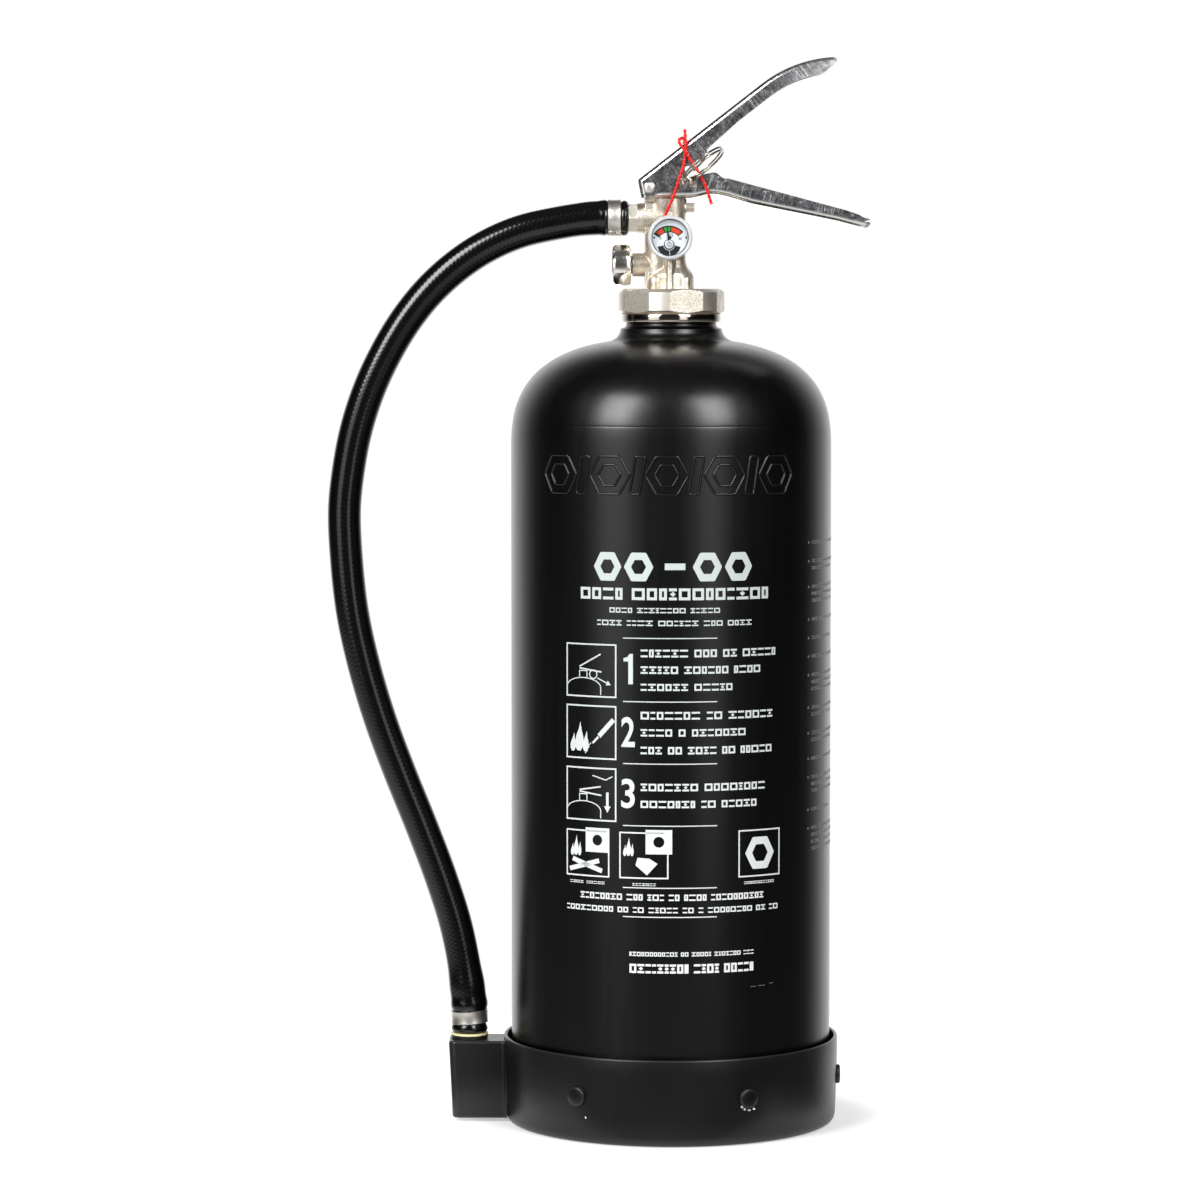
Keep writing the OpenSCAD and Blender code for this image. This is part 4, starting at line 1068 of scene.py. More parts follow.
def pocket_outline(inset, draft):
    """The pocket's footprint: a rounded block that flares into the skirt."""
    out, half, corner = POCKET_OUT - inset - draft, POCKET_HALF - inset, max(0.8, 4.0 - inset)
    pts = []
    for sign in (-1, 1):
        flare = []
        root = -math.sqrt((SKIRT_R - 0.6 - inset) ** 2 - (half + 2.6) ** 2)
        for k in range(7):
            t = k / 6
            flare.append((root - 3.4 * t, sign * (half + 2.6 * (1 - t) ** 2)))
        edge = [(-out + corner - corner * sind(15 * k), sign * (half - corner + corner * cosd(15 * k)))
                for k in range(7)]
        side = flare + edge
        pts += side if sign < 0 else list(reversed(side))
    return pts + [(-(skirt_in + 0.6), POCKET_HALF * 0.8), (-(skirt_in + 0.6), -POCKET_HALF * 0.8)]


def pocket():
    """The pocket's walls, its rounded top with the hole for the nozzle, and its bore."""
    rings = []
    for z, inset, draft in ((2.0, 0.6, 2.1), (2.6, 0.1, 2.05), (3.4, 0.0, 2.0), (20, 0.0, 1.2),
                            (44.2, 0.0, 0.0), (44.9, 0.15, 0.0), (45.35, 0.5, 0.0), (POCKET_TOP, 1.1, 0.0)):
        rings.append([(x, y, z) for x, y in pocket_outline(inset, draft)])
    points, faces = skin(rings, caps=False)
    n, hole = len(rings[0]), len(points)
    faces.append(tuple(range(n - 1, -1, -1)))
    around = 40
    for r, z in ((HOLE_R, POCKET_TOP), (HOLE_R - 0.2, POCKET_TOP - 0.3), (HOLE_R - 0.2, 8.0)):
        points += [(-POCKET_X + r * cosd(9 * k), r * sind(9 * k), z) for k in range(around)]
    faces += flat_faces(points, [range(hole - n, hole), range(hole + around - 1, hole - 1, -1)], (0, 1))
    faces += belt(hole, hole + around, around) + belt(hole + around, hole + 2 * around, around)
    faces.append(tuple(range(hole + 2 * around, hole + 3 * around)))
    return points, faces


piece("skirt_shell", joined(lathe(skirt_line, 224), lathe(rib, loop=True)), M["skirt"],
      replaces=["base_skirt"], smooth=32)
piece("nozzle_pocket", pocket(), M["skirt"], replaces=["base_skirt"], smooth=32)

push_line = [(0, 90.2), (2.6, 90.2), (2.6, 94.0), (5.1, 94.0), (5.35, 94.2), (5.4, 94.6), (5.4, 95.3),
             (5.25, 95.75), (4.9, 96.05), (4.2, 96.2), (2.6, 96.35), (0, 96.45)]
rivets = []
for i in range(5):  # the sixth place is the nozzle pocket
    turn = Matrix.Rotation(math.radians(-34 + 60 * i), 4, "Z")
    rivets.append(moved(lathe(push_line, 48), turn @ at(0, 0, 26) @ ALONG_Y))
piece("skirt_push_rivets", joined(*rivets), M["rivet"], replaces=["skirt_rivets"],
      smooth=40)


# ---------------------------------------------------------------- valve

HEX_Z, HEX_H, TOP_Z, OUTLET_Z, PORT_Z, PLUG_Z = 455.5, 14.0, 520.0, 509.0, 483.0, 515.0
PIVOT_X, PIVOT_Z = -12.5, 525.8

ferrule = [(16, 426), (29, 426), (29, 430), (22.3, 431), (22.3, 450.85), (27.8, 450.85), (28.3, 451.05),
           (28.5, 451.5), (28.5, 454.8), (28.3, 455.25), (27.8, 455.45), (16, 455.45)]
piece("neck_ferrule", lathe(ferrule, 160, loop=True), M["polished"],
      replaces=["neck_insert"], smooth=30)

chamfer = [(27.2 + 2.8 * t, 1.9 * t ** 1.25) for t in (0.15, 0.3, 0.45, 0.6, 0.75, 0.9, 1.0)]
hex_profile = [(0, 0), (24, 0), (27.2, 0.0)] + chamfer + [(30.0, 3.2), (30.0, 7.0), (30.0, 10.8)]
hex_profile += [(r, HEX_H - h) for r, h in chamfer[::-1]] + [(27.2, HEX_H), (26.4, HEX_H), (0, HEX_H)]
HEX_AF, HEX_TURN = 56.9, 16.4
hex_shape = moved(faceted(hex_profile, 6, HEX_AF, HEX_TURN), at(0, 0, HEX_Z))
kinds = []  # 1 for the turned corners, 0 for the blasted sides
for face in hex_shape[1]:
    kind = 0
    if len(face) == 4:
        mid = sum((Vector(hex_shape[0][i]) for i in face), Vector()) / 4
        flat = HEX_AF / 2 / cosd((math.degrees(math.atan2(mid.y, mid.x)) - HEX_TURN) % 60 - 30)
        if math.hypot(mid.x, mid.y) < flat - 0.05 and 0.3 < mid.z - HEX_Z < HEX_H - 0.3:
            kind = 1
    kinds.append(kind)
piece("valve_hexagon", hex_shape, [M["blasted"], M["corner"]],
      replaces=["valve_body"], smooth=24, kinds=kinds, weld=1e-4)

# the casting is a union of simple bodies, grown together and softened like cast metal
foot = HEX_Z + HEX_H - 0.4
cast = [
    lathe([(0, foot - 1), (12.6, foot - 1), (12.6, 476.2), (12.0, 478.0), (9.4, 481.4), (8.4, 483.6),
           (8.0, 486), (8.0, 512), (8.0, TOP_Z), (0, TOP_Z)], 64),
    rod((-7, 0, 476), (-7, 0, TOP_Z), 8.0),
    block((-7, -7.9, 476), (0, 7.9, TOP_Z)),
    block((-15, -7.2, 500.5), (-7, 7.2, TOP_Z)),
    block((-14.8, -5.5, 470), (-8, 5.5, 484)),
    rod((-8.6, -6.5, foot - 1), (-8.6, -6.5, foot + 4.6), 4.5),
    ball((-8.6, -6.5, foot + 4.6), 4.5),
    rod((-0.9, -11.4, foot - 1), (-0.9, -11.4, 489.5), 2.2, 2.0),
    rod((-0.9, -8.5, foot + 4), (-0.9, -8.5, 490.5), 3.0),
    rod((7.6, -8.4, foot - 1), (7.6, -8.4, foot + 5.0), 3.6, 3.2),
    ball((7.6, -8.4, foot + 5.0), 3.2),
    rod((8.0, 7.6, foot - 1), (8.0, 7.6, foot + 6.0), 3.6, 3.2),
    rod((-21.8, 0, PORT_Z), (0, 0, PORT_Z), 6.5),
    rod((-30.8, 0, PORT_Z), (-20, 0, PORT_Z), 4.9),
    rod((-19.2, 0, OUTLET_Z), (-15.8, 0, OUTLET_Z), 8.2, 8.6),
    rod((-16, 0, OUTLET_Z), (0, 0, OUTLET_Z), 8.6),
    rod((0, 0, PLUG_Z), (8.4, 0, PLUG_Z), 3.5),
    rod((-1, 0, 498), (-1, -9.2, 498), 5.8),
    rod((0, 0, TOP_Z - 1), (0, 0, 524), 5.4),
    block((-15, -9.1, TOP_Z - 2), (-9, 9.1, 526)),
    rod((-12.2, -9.1, 526), (-12.2, 9.1, 526), 3.2),
]
casting = piece("valve_casting", joined(*cast), M["casting"], body=None, weld=None)
grow = casting.modifiers.new("grow", "REMESH")
grow.mode, grow.voxel_size, grow.use_smooth_shade = "VOXEL", 0.33 * MM, True
soft = casting.modifiers.new("soft", "SMOOTH")
soft.factor, soft.iterations = 0.5, 5
applied(casting)
casting.data.materials.clear()
casting.data.materials.append(M["casting"])
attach(casting, "root")
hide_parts("valve_body")


def bar_profile(a, b, r, cut):
    """A bar from height a to b with its edges cut off."""
    return [(0, a), (r - cut, a), (r - cut * 0.4, a + cut * 0.3), (r, a + cut), (r, b - cut),
            (r - cut * 0.4, b - cut * 0.3), (r - cut, b), (0, b)]


nut = moved(faceted(bar_profile(-23.9, -19.3, 8.83, 0.7), 6, 15.3, 30, 180), at(0, 0, OUTLET_Z) @ ALONG_X)
tail = rod((-19.4, 0, OUTLET_Z), (-14, 0, OUTLET_Z), 3.9)
spigot = rod((-30, 0, OUTLET_Z), (-23, 0, OUTLET_Z), 6.0)
piece("outlet_nut", joined(nut, tail, spigot), M["corner"], replaces=["outlet_nipple"],
      smooth=24)

cap_profile = [(0, -33.3), (4.6, -33.3), (4.9, -33.0), (5.6, -33.0), (5.9, -33.3), (10.6, -33.3),
               (11.0, -33.2), (11.6, -32.6), (12.3, -31.7), (12.75, -30.9), (12.75, -25.4), (12.5, -24.4),
               (11.9, -23.3), (11.4, -22.75), (11.0, -22.6), (6.0, -22.6), (5.6, -22.9), (5.2, -24),
               (5.2, -30), (0, -30)]
cap_points, cap_faces = faceted(cap_profile, 8, 22.9, 22.5, 240, bulge=0.72)
for i, (x, y, h) in enumerate(cap_points):
    if math.hypot(x, y) > 10:  # the grip is a slight barrel
        k = 1 - 0.055 * (abs(h + 28.2) / 5.0) ** 2
        cap_points[i] = (x * k, y * k, h)
cap_shape = moved((cap_points, cap_faces), at(0, 0, PORT_Z) @ ALONG_X)
piece("port_cap", cap_shape, M["cap_chrome"], body="cap", replaces=["service_cap"], smooth=20,
      weld=1e-4)

plug_head = moved(faceted(bar_profile(8.5, 12.8, 2.88, 0.35), 6, 5.0, 30, 120), at(0, 0, PLUG_Z) @ ALONG_X)
plug_neck = rod((6, 0, PLUG_Z), (8.8, 0, PLUG_Z), 1.85)
plug_flange = rod((8.2, 0, PLUG_Z), (9.0, 0, PLUG_Z), 2.7)
piece("port_plug", joined(plug_head, plug_neck, plug_flange), M["corner"],
      replaces=["side_plug"], smooth=24)
screw_line = [(0, 517.4), (1.35, 517.4), (1.35, 519.6), (1.1, 519.9), (0.7, 519.9), (0.6, 519.3),
              (0, 519.3)]
piece("seat_screw", moved(lathe(screw_line, 24), at(7.0, -1.6, 0)), M["dark_screw"], smooth=30)


def clamp(name, place, ear_turn, body, replaced):
    """A band clamp: a band with rolled edges, its overlap step and the squeezed ear."""
    h = CLAMP_H
    edge = [(9.52, 0.15), (9.75, 0.0), (10.15, 0.0), (10.42, 0.18), (10.46, 0.5), (10.32, 0.9)]
    band_part = lathe(edge + [(10.28, h / 2)] + [(r, h - z) for r, z in edge[::-1]], loop=True)
    lap = []
    for k in range(11):
        a = -52 + 4 * k
        rr = 10.3 + 0.42 * min(1, k / 3)
        c, s = cosd(a), sind(a)
        lap.append([(r * c, r * s, z) for r, z in ((10.0, 0.6), (rr, 0.6), (rr, h - 0.6), (10.0, h - 0.6))])
    ear_half = [(9.9, 2.3), (11.2, 2.1), (12.1, 1.5), (12.45, 0.6)]
    gap_half = [(9.9, 1.5), (11.0, 1.35), (11.5, 0.9), (11.7, 0.3)]
    half = ear_half[::-1] + gap_half
    outline = [(x, -y) for x, y in ear_half] + half + [(x, -y) for x, y in gap_half[::-1]]
    ear = skin([[(x, y, z) for x, y in outline] for z in (0.5, h - 0.5)])
    turn = Matrix.Rotation(math.radians(ear_turn), 4, "Z")
    shape = joined(moved(band_part, place), moved(skin(lap), place @ turn), moved(ear, place @ turn))
    return piece(name, shape, M["clamp"], body=body, replaces=[replaced], smooth=40)


clamp_top = clamp("clamp_by_valve", at(TOP_CLAMP_X, 0, OUTLET_Z) @ ALONG_X, 60, "root", "hose_clamp_top")
tilt = at(-POCKET_X, 0, LOW_CLAMP_Z + CLAMP_H / 2) @ Matrix.Rotation(math.radians(-3.0), 4, "Y")
clamp_low = clamp("clamp_by_nozzle", tilt @ at(0, 0, -CLAMP_H / 2), 70, "nozzle_end", "hose_clamp_bottom")

ring_line = [(6.0, 47.6), (10.2, 47.6), (10.6, 47.75), (10.7, 48.2), (10.6, 48.65), (10.2, 48.8),
             (6.0, 48.8)]
ring_shape = lathe(ring_line, 72, loop=True)
cream = piece("hose_end_ring", moved(ring_shape, at(-POCKET_X, 0, 0)), M["cream"], body="nozzle_end",
              replaces=["nozzle_ring"], smooth=40)


# ---------------------------------------------------------------- pressure gauge

GX, GZ, HX, HZ = -1.0, 498.0, -1.5, 494.1
front = at(GX, 0, GZ) @ ALONG_Y  # heights of a profile become distances to the front

bezel = [(0, 11.0), (10.9, 11.0), (11.4, 11.15), (11.6, 11.6), (11.6, 19.3), (11.5, 19.65), (11.25, 19.8),
         (11.0, 19.7), (10.9, 19.4), (10.9, 12.0), (0, 12.0)]
face = [(0.9, 17.4), (10.8, 17.4), (10.85, 17.6), (10.8, 18.05), (10.55, 18.12), (10.3, 17.9), (0.9, 17.9)]
rim = [(11.75, 13.6), (12.2, 13.5), (12.45, 13.7), (12.5, 14.2), (12.5, 20.6), (12.3, 21.4), (11.8, 21.85),
       (11.0, 22.0), (10.55, 21.9), (10.5, 21.2), (10.9, 20.9), (11.5, 20.6), (11.7, 20.1)]
pane = [(0, 21.75), (6, 21.72), (10.52, 21.6), (10.52, 21.1), (0, 21.1)]
for name, profile, steps, loop, paint, slot, node, smooth in (
        ("gauge_bezel", bezel, 120, False, "chrome", "chrome", "gauge_case", 32),
        ("gauge_face", face, 120, True, "dial", "dial_face", "gauge_dial", 35),
        ("gauge_rim", rim, 120, True, "clear", "lens", "gauge_lens", 40),
        ("gauge_window", pane, 96, False, "window", "lens", "gauge_lens", 40)):
    piece(name, moved(lathe(profile, steps, loop), front), M[paint], replaces=[node],
          smooth=smooth)

DIAL_Y = -17.88


def dial_band(r0, r1, a0, a1, cx, cz, depth):
    """Part of a ring on the dial, by angles clockwise from the top."""
    n = max(2, math.ceil((a1 - a0) / 3))
    rings = []
    for i in range(n + 1):
        a = a0 + (a1 - a0) * i / n
        rings.append([(cx + r * sind(a), y, cz + r * cosd(a))
                      for r, y in ((r0, DIAL_Y), (r1, DIAL_Y), (r1, -depth), (r0, -depth))])
    return skin(rings)


BLACK, RED, GREEN = range(3)
marks, kinds = [], []


def mark(shape, kind):
    """Adds a shape to the dial's print in one of its inks."""
    marks.append(shape)
    kinds.extend([kind] * len(shape[1]))


# the dark band round the hub's lower half is split near the bottom, from 174 to 178 degrees, so the white
# dial shows there: a painted highlight
for r0, r1, a0, a1, depth, kind in (
        (6.8, 10.55, -56, 48.5, 17.95, BLACK), (7.3, 9.75, -46, -22, 17.99, RED),
        (7.3, 9.75, -17.5, -8, 17.99, GREEN), (7.3, 9.75, -4.5, 4, 17.99, GREEN),
        (7.3, 9.75, 8, 44.5, 17.99, RED), (3.3, 6.5, 101, 174, 17.97, BLACK),
        (3.3, 6.5, 178, 260, 17.97, BLACK), (2.4, 2.9, 0, 359.9, 17.94, BLACK)):
    mark(dial_band(r0, r1, a0, a1, HX, HZ, depth), kind)
for a in (-90, 90):
    mark(dial_band(8.5, 9.4, a - 3.2, a + 3.2, GX, GZ, 17.97), BLACK)
DIGIT_H = 1.5
for text, x, z in (("0", -6.4, 497.6), ("15", -0.2, 499.4), ("30", 4.6, 497.4)):
    number = Ink()
    w = DIGIT_H * 0.62 * len(text)
    number.numeral(text, x - w / 2, x + w / 2, z - DIGIT_H / 2, z + DIGIT_H / 2)
    for poly in number.polys:
        mark(skin([[(px, y, pz) for px, pz in poly] for y in (DIAL_Y, -17.95)]), BLACK)
piece("dial_print", joined(*marks), [M["ink_black"], M["ink_red"], M["ink_green"]],
      smooth=30, kinds=kinds, weld=None)

pointer_turn = at(HX, 0, HZ) @ Matrix.Rotation(math.radians(-6), 4, "Y")
pointer_line = [(-0.5, -2.2), (0.5, -2.2), (0.58, 0), (0.5, 6.4), (0.2, 7.6), (-0.2, 7.6), (-0.5, 6.4),
                (-0.58, 0)]
pointer = skin([[(x, y, z) for x, z in pointer_line] for y in (-18.75, -18.35)])
boss_line = [(0, 16.2), (0.75, 16.2), (0.75, 18.3), (1.55, 18.3), (1.6, 18.5), (1.5, 18.8), (0, 18.8)]
for name, r0, r1, y0, y1, place in (("dial_edge", 9.86, 10.12, 18.0, 18.3, (GX, 0, GZ)),
                                    ("bezel_line", 10.72, 10.98, 18.0, 18.5, (GX, 0, GZ)),
                                    ("hub_groove", 1.2, 1.5, 20.44, 20.62, (HX, 0, HZ))):
    ring_line = [(r0, y0), (r1, y0), (r1, y1), (r0, y1)]
    piece(name, moved(lathe(ring_line, loop=True), at(*place) @ ALONG_Y), M["ink_black"])
piece("gauge_pointer", moved(joined(pointer, moved(lathe(boss_line, 40), ALONG_Y)), pointer_turn),
      M["ink_black"], body="needle", replaces=["gauge_needle"], bevel=0.06)
hub_line = [(0, 19.3), (2.1, 19.3), (2.35, 19.45), (2.4, 19.8), (2.4, 20.4), (2.25, 20.75), (1.9, 20.9),
            (1.5, 20.8), (1.3, 20.5), (0.9, 20.45), (0.75, 20.65), (0, 20.7)]
piece("gauge_hub", moved(lathe(hub_line, 64), at(HX, 0, HZ) @ ALONG_Y), M["hub"],
      replaces=["gauge_hub_cover"])


# ---------------------------------------------------------------- lever and handle

SHEET, LEVER_SLOPE = 1.5, 37.7


def channel(web, free, width, bend, holes=()):
    """A sheet channel with bends of outer radius bend between its back and its cheeks.

    web is the outer line of its back, with the cheeks on its right, and free is the cheeks' open edge from
    the web's end back to its start. Both are x and z. holes are (x, z, radius) through both cheeks."""
    n = len(web)
    normals = []
    for i in range(n):
        a, b = web[max(i - 1, 0)], web[min(i + 1, n - 1)]
        t = Vector((b[0] - a[0], b[1] - a[1])).normalized()
        normals.append(Vector((t.y, -t.x)))
    half, steps = width / 2, 9

    def section(radius):
        pts = [(bend - radius * sind(90 * k / steps), -(half - bend) - radius * cosd(90 * k / steps))
               for k in range(steps + 1)]
        return pts + [(d, -y) for d, y in reversed(pts)]

    points, faces = [], []
    for line in (section(bend), section(bend - SHEET)):
        for p, normal in zip(web, normals):
            points += [(p[0] + normal.x * d, y, p[1] + normal.y * d) for d, y in line]
    m = 2 * steps + 2
    layer = n * m
    for base in (0, layer):
        for i in range(n - 1):
            for k in range(m - 1):
                a = base + i * m + k
                faces.append((a, a + 1, a + m + 1, a + m))
    for i in (0, n - 1):
        for k in range(m - 1):
            a, b = i * m + k, layer + i * m + k
            faces.append((a, a + 1, b + 1, b))
    around = 28
    for side, column in ((-1, 0), (1, m - 1)):
        rims = []
        for base, y in ((0, side * half), (layer, side * (half - SHEET))):
            start = len(points)
            points += [(x, y, z) for x, z in free]
            rows = [list(range(base + column, base + column + layer, m)) + list(range(start, len(points)))]
            for hx, hz, hr in holes:
                rows.append(range(len(points), len(points) + around))
                points += [(hx + hr * cosd(-360 * k / around), y, hz + hr * sind(-360 * k / around))
                           for k in range(around)]
            faces += flat_faces(points, rows, (0, 2))
            rims.append(rows)
        edge_a, edge_b = (rows[0][n - 1:] + rows[0][:1] for rows in rims)
        for k in range(len(edge_a) - 1):
            faces.append((edge_a[k], edge_a[k + 1], edge_b[k + 1], edge_b[k]))
        for row_a, row_b in zip(rims[0][1:], rims[1][1:]):
            faces += belt(row_a[0], row_b[0], around)
    return points, faces


# the squeeze lever, in its own frame: x along it, z away from its open side
WEB, BEND_X, BEND_R, FLANGE = 7.5, 84.8, 71.5, 8.4
web_line = [(-7.25, -1.86), (-5.9, 0.84), (-4.5, 3.62), (-3.4, 5.8), (-3.02, 6.55), (-2.68, 7.05),
            (-2.2, 7.36), (-1.6, 7.49), (-0.9, 7.5)]
web_line += [(x, WEB) for x in (6, 12, 24, 36, 48, 60, 72)] + arc(BEND_X, WEB - BEND_R, BEND_R, 90, 54.6, 18)
slot_r, slot_half, slot_end = 24.37, 2.4, -12.73  # the arc that clears the pin
lever_free = [(126.7, -6.6), (126.5, -7.5), (125.6, -8.2), (124.0, -8.5), (121.5, -8.6), (117.8, -8.9)]
lever_free += arc(BEND_X, WEB - BEND_R, BEND_R - FLANGE, 62, 90, 10)
lever_free += [(63, -0.9), (52, -1.7), (42, -2.35), (39, -2.7), (37.8, -3.7), (36.9, -5.6), (35.4, -6.7),
               (30, -7.5)]
lever_free += arc(0, 0, slot_r + slot_half, -17.3, slot_end, 3)
lever_free += arc(slot_r * cosd(slot_end), slot_r * sind(slot_end), slot_half, slot_end + 20,
                  slot_end + 160, 8)
lever_free += arc(0, 0, slot_r - slot_half, slot_end, -27.4, 5) + [(19.0, -10.3), (18.2, -10.25)]
lever_free += arc(0, 0, 4.8, -105.2, -170, 6) + [(-5.2, -0.9)]
lever_shape = joined(channel(web_line, lever_free, 26.0, 3.5),
                     rod((124.6, -11.6, -6.7), (124.6, 11.6, -6.7), 1.35, steps=20))
lever_place = at(PIVOT_X, 0, PIVOT_Z) @ Matrix.Rotation(math.radians(-LEVER_SLOPE), 4, "Y")
piece("lever_channel", moved(lever_shape, lever_place), M["lever_steel"], body="lever",
      replaces=["squeeze_lever"], smooth=28, bevel=0.40, weld=1e-4)

PIN_X, PIN_Z = 11.8, 527.7
handle_web = [(123.95, -19.4), (123.7, -20.6), (122.9, -21.7), (121.8, -22.45), (120.3, -22.75),
              (116.5, -21.8), (112.5, -20.7), (105, -18.7), (92, -16), (73, -12.2), (57, -9.0), (50, -6.9),
              (44.5, -5.2), (41, -4.35), (38, -3.8), (35.5, -3.62), (33.0, -3.8), (30.5, -4.3), (28, -5.0),
              (25, -5.5), (22.5, -5.75), (18, -5.8), (8, -5.8), (-1.0, -5.8)]
handle_free = [(-2.6, -5.4), (-3.5, -4.2)] + arc(0, 0, 3.8, 200, 75, 9)
handle_free += [(14, 4.4), (24, 6.3), (33, 8.0), (35.2, 8.42), (36.8, 8.45), (38.2, 7.8), (39.6, 6.5),
                (41.1, 5.4), (42.6, 5.15), (44.3, 5.1), (66, -0.75), (88, -6.65), (110.2, -12.6),
                (114.5, -14.1), (117.6, -15.2), (118.8, -16.1), (120.4, -16.75), (122.4, -17.2),
                (123.5, -17.8)]
handle_shape = channel(handle_web, handle_free, 22.0, 3.7, holes=[(PIN_X - PIVOT_X, PIN_Z - PIVOT_Z, 1.95)])
piece("handle_channel", moved(handle_shape, at(PIVOT_X, 0, PIVOT_Z)), M["handle_steel"],
      replaces=["carry_handle"], smooth=28, bevel=0.28, weld=1e-4)

rivet_end = [(0, 15.25), (1.2, 15.2), (2.2, 15.0), (2.9, 14.6), (3.25, 14.0), (3.3, 13.4), (3.1, 13.2),
             (2.25, 13.1)]
rivet_line = [(r, -h) for r, h in rivet_end] + rivet_end[::-1]
piece("pivot_pin", moved(lathe(rivet_line, 48), at(PIVOT_X, 0, PIVOT_Z) @ ALONG_Y), M["rivet_nickel"],
      replaces=["pivot_rivet"], smooth=40)

EYE, EYE_R, EYE_WIRE = (10.1, -20.6, 529.8), 3.6, 1.7
RING_RISE = 39.0
pin_line = [(0, -14.0), (1.2, -14.0), (1.6, -13.6), (1.8, -13.0), (1.8, 16.2), (1.65, 16.9), (1.3, 17.3),
            (0, 17.4)]
pin_rod = moved(lathe(pin_line, 40), at(PIN_X, 0, PIN_Z) @ ALONG_Y)
eye_path = [Vector((EYE_R * cosd(a), EYE_R * sind(a), 0)) for a in range(0, 360, 6)]
eye_turn = at(*EYE) @ Matrix.Rotation(math.radians(90 - RING_RISE), 4, "Y")
eye_loop = moved(tube(eye_path, EYE_WIRE / 2, 16, first=(0, 0, 1), loop=True), eye_turn)
piece("pull_pin", joined(pin_rod, eye_loop), M["pin_wire"], body="pin",
      replaces=["safety_pin"], smooth=40, weld=None)

# two turns of flat wire, which change over about the end of the first turn, with tapered tips
COIL_R, WIRE_WIDE, WIRE_THICK = 14.25, 0.74, 0.54
rings = []
for a in range(0, 721, 3):
    step = min(1.0, max(0.0, (a - 330.0) / 60.0))
    spread = 0.58 + 0.34 * (1 - cosd(a + 40)) / 2
    level = spread * (2 * step * step * (3 - 2 * step) - 1)
    tip = min(a, 720 - a)
    shrink = 0.35 if tip < 1 else (0.8 if tip < 4 else 1.0)
    c, s = cosd(a + 200), sind(a + 200)
    across = [(COIL_R + WIRE_WIDE * shrink * cosd(b), level + WIRE_THICK * shrink * sind(b))
              for b in range(0, 360, 24)]
    rings.append([(r * c, r * s, h) for r, h in across])
ring_place = (at(16.6, -30, 537.5) @ Matrix.Rotation(math.radians(-RING_RISE), 4, "Y")
              @ Matrix.Rotation(math.radians(-11), 4, "X"))
piece("split_ring", moved(skin(rings), ring_place), M["wire"], body="ring",
      replaces=["pull_ring"], smooth=50, weld=None)

# ---------------------------------------------------------------- inside the valve

SPRING_LOW, SPRING_HIGH, SPRING_R, SPRING_TURNS, END_GAP = 472.0, 494.0, 4.2, 6, 0.62
coil_steps = SPRING_TURNS * 36
coil_rise = SPRING_HIGH - SPRING_LOW - 2 * END_GAP
coil = []
for k in range(coil_steps + 1):
    height = SPRING_LOW + END_GAP + coil_rise * k / coil_steps
    coil.append(Vector((SPRING_R * cosd(10 * k), SPRING_R * sind(10 * k), height)))
spring = piece("return_spring", tube(coil, 0.5, 12, first=(1, 0, 0)), M["spring"],
               replaces=["valve_spring"], smooth=60)
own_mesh(spring)

inside = {"aramid": ["fibre_wrap"], "liner": ["inner_liner"], "tube": ["siphon_tube"],
          "rubber": ["neck_o_ring", "stem_o_ring", "stem_gasket"], "strainer": ["siphon_strainer"],
          "brass": ["spring_retainer", "charging_core", "gauge_stem", "bourdon_tube", "valve_stem"],
          "nozzle": ["nozzle"]}
for key, names in inside.items():
    for name in names:
        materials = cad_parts[name].data.materials
        materials.clear()
        materials.append(M[key])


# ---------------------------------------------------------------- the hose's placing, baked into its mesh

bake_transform(hose)


# ---------------------------------------------------------------- floor, light and background

def stage_paint():
    p = Paint("floor_white", (0.6, 0.6, 0.6), 0.7, Emission_Color=(1, 1, 1, 1), Specular_IOR_Level=0.2)
    p.colour(p.blend(p.noise(400, 2.0), (0.58, 0.58, 0.58), (0.62, 0.62, 0.62)))
    far = p.node("ShaderNodeVectorMath", [(0, p.space)], operation="LENGTH").outputs["Value"]
    p.tree.links.new(p.span(far, 0.10, 0.15, 0.45, 1.0, soft=True), p.shader.inputs["Emission Strength"])
    return p.mat


FLOOR_X, FLOOR_Y, FLOOR_Z = (-0.16, 0.13), (-0.102, 0.35), -0.0002
floor_mesh = bpy.data.meshes.new("floor")
floor_mesh.from_pydata([(FLOOR_X[i], FLOOR_Y[j], FLOOR_Z) for i, j in ((0, 0), (1, 0), (1, 1), (0, 1))], [],
                       [(0, 1, 2, 3)])
floor_mesh.materials.append(stage_paint())
floor = linked("floor", floor_mesh)


def softbox(name, azimuth, elevation, distance, width, height, radiance):
    """A soft light aimed at the cylinder's middle. Azimuth is from the front, positive to the right."""
    light = bpy.data.lights.new(name, "AREA")
    light.shape, light.size, light.size_y = "RECTANGLE", width, height
    light.energy = radiance * math.pi * width * height
    obj = linked(name, light)
    back = Vector((sind(azimuth) * cosd(elevation), -cosd(azimuth) * cosd(elevation), sind(elevation)))
    obj.location = Vector((0, 0, 0.33)) + back * distance
    obj.rotation_mode = "QUATERNION"
    obj.rotation_quaternion = back.to_track_quat("Z", "Y")
    obj.visible_camera = False


softbox("softbox_left", -42, 33, 2.0, 0.75, 1.15, 14.0)
softbox("softbox_right", 32, 33, 2.0, 0.66, 1.10, 13.0)
softbox("low_left", -41, 5, 2.05, 0.90, 1.0, 1.5)
softbox("low_right", 27, 5, 2.05, 0.62, 1.0, 1.5)

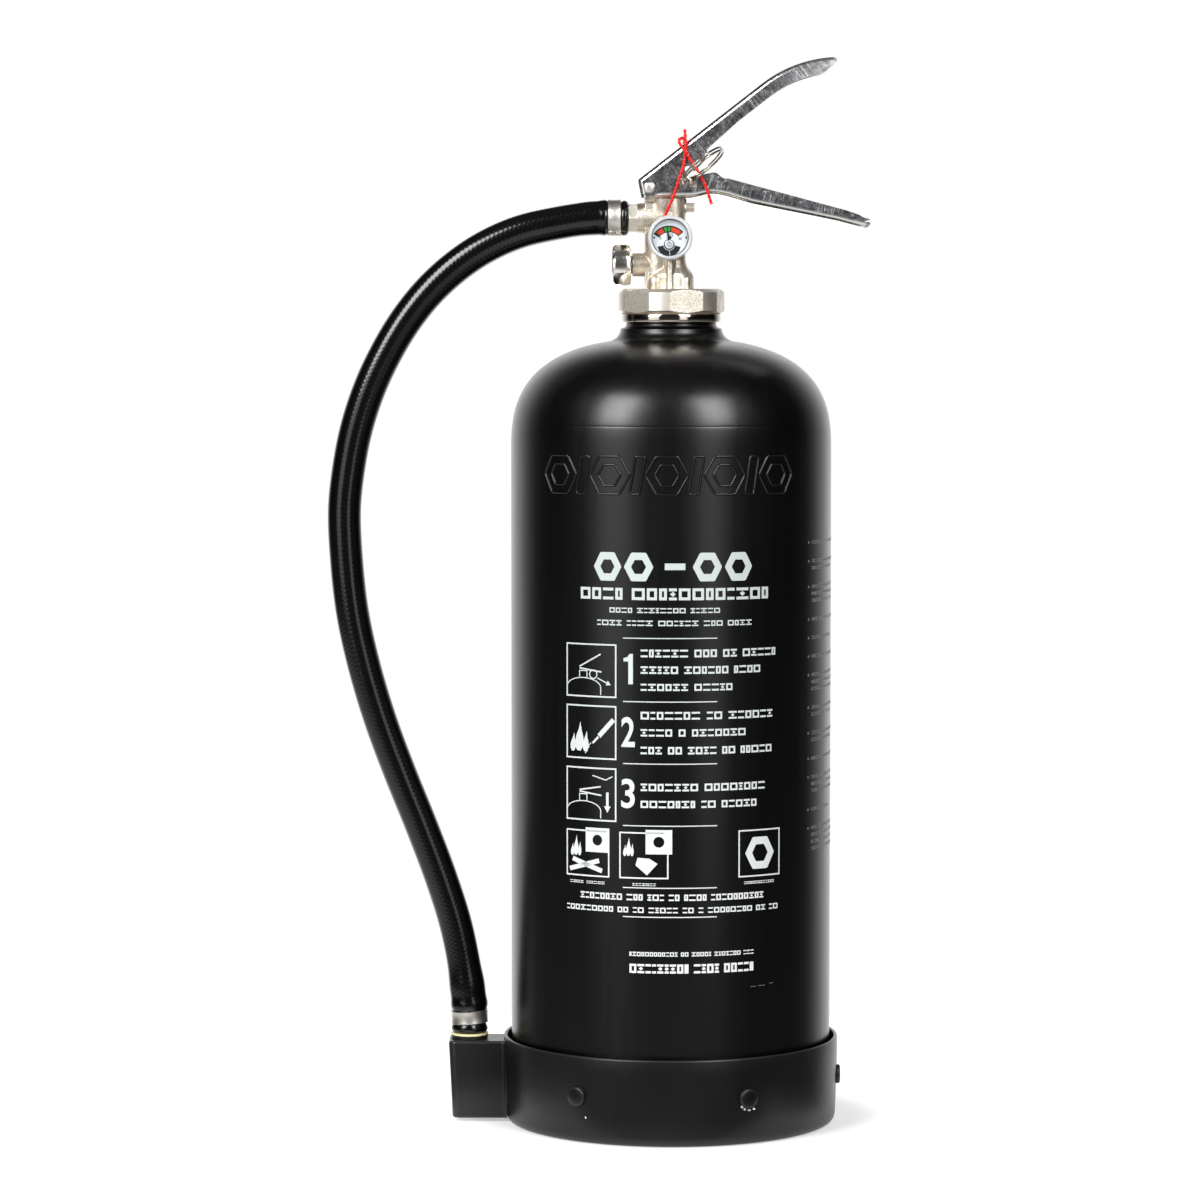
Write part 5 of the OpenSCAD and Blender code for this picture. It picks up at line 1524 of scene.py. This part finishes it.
world = bpy.data.worlds.new("studio")
scene.world = world
world.use_nodes = True
nodes, links = world.node_tree.nodes, world.node_tree.links
nodes.clear()
out = nodes.new("ShaderNodeOutputWorld")
seen = nodes.new("ShaderNodeBackground")
seen.inputs["Color"].default_value = (1, 1, 1, 1)
lit = nodes.new("ShaderNodeBackground")
path = nodes.new("ShaderNodeLightPath")
mix = nodes.new("ShaderNodeMixShader")
direction = nodes.new("ShaderNodeTexCoord")
apart = nodes.new("ShaderNodeSeparateXYZ")
links.new(direction.outputs["Generated"], apart.inputs[0])


def world_span(axis, start, end, low, high):
    """A soft step from low to high along one axis of the direction."""
    part = nodes.new("ShaderNodeMapRange")
    part.interpolation_type = "SMOOTHSTEP"
    for socket, value in ((1, start), (2, end), (3, low), (4, high)):
        part.inputs[socket].default_value = value
    links.new(apart.outputs[axis], part.inputs[0])
    return part.outputs[0]


def world_math(operation, a, b):
    both = nodes.new("ShaderNodeMath")
    both.operation = operation
    links.new(a, both.inputs[0])
    links.new(b, both.inputs[1])
    return both.outputs[0]


# what the object sees: a white wall behind, a dim room in front and above, and a pale table below
X, Y, Z = range(3)
total = world_math("MULTIPLY", world_span(Y, 0.40, 1.0, 0.0, 1.9), world_span(Z, 0.30, 0.70, 1.0, 0.10))
table = world_math("MULTIPLY", world_span(Z, -0.20, -0.40, 0.0, 1.1), world_span(Z, -0.75, -0.95, 1.0, 0.35))
total = world_math("ADD", total, world_math("MULTIPLY", table, world_span(X, 0.10, 0.55, 1.0, 0.35)))
for axis, start, end, low, high in ((Y, -0.86, -0.99, 0.006, 0.038), (Z, 0.75, 1.0, 0.0, 0.12),
                                    (Z, -0.04, -0.17, 0.0, 0.06)):
    total = world_math("ADD", total, world_span(axis, start, end, low, high))
links.new(total, lit.inputs["Strength"])
links.new(path.outputs["Is Camera Ray"], mix.inputs[0])
links.new(lit.outputs[0], mix.inputs[1])
links.new(seen.outputs[0], mix.inputs[2])
links.new(mix.outputs[0], out.inputs[0])
scene.view_settings.view_transform = "Standard"
scene.view_settings.look = "None"
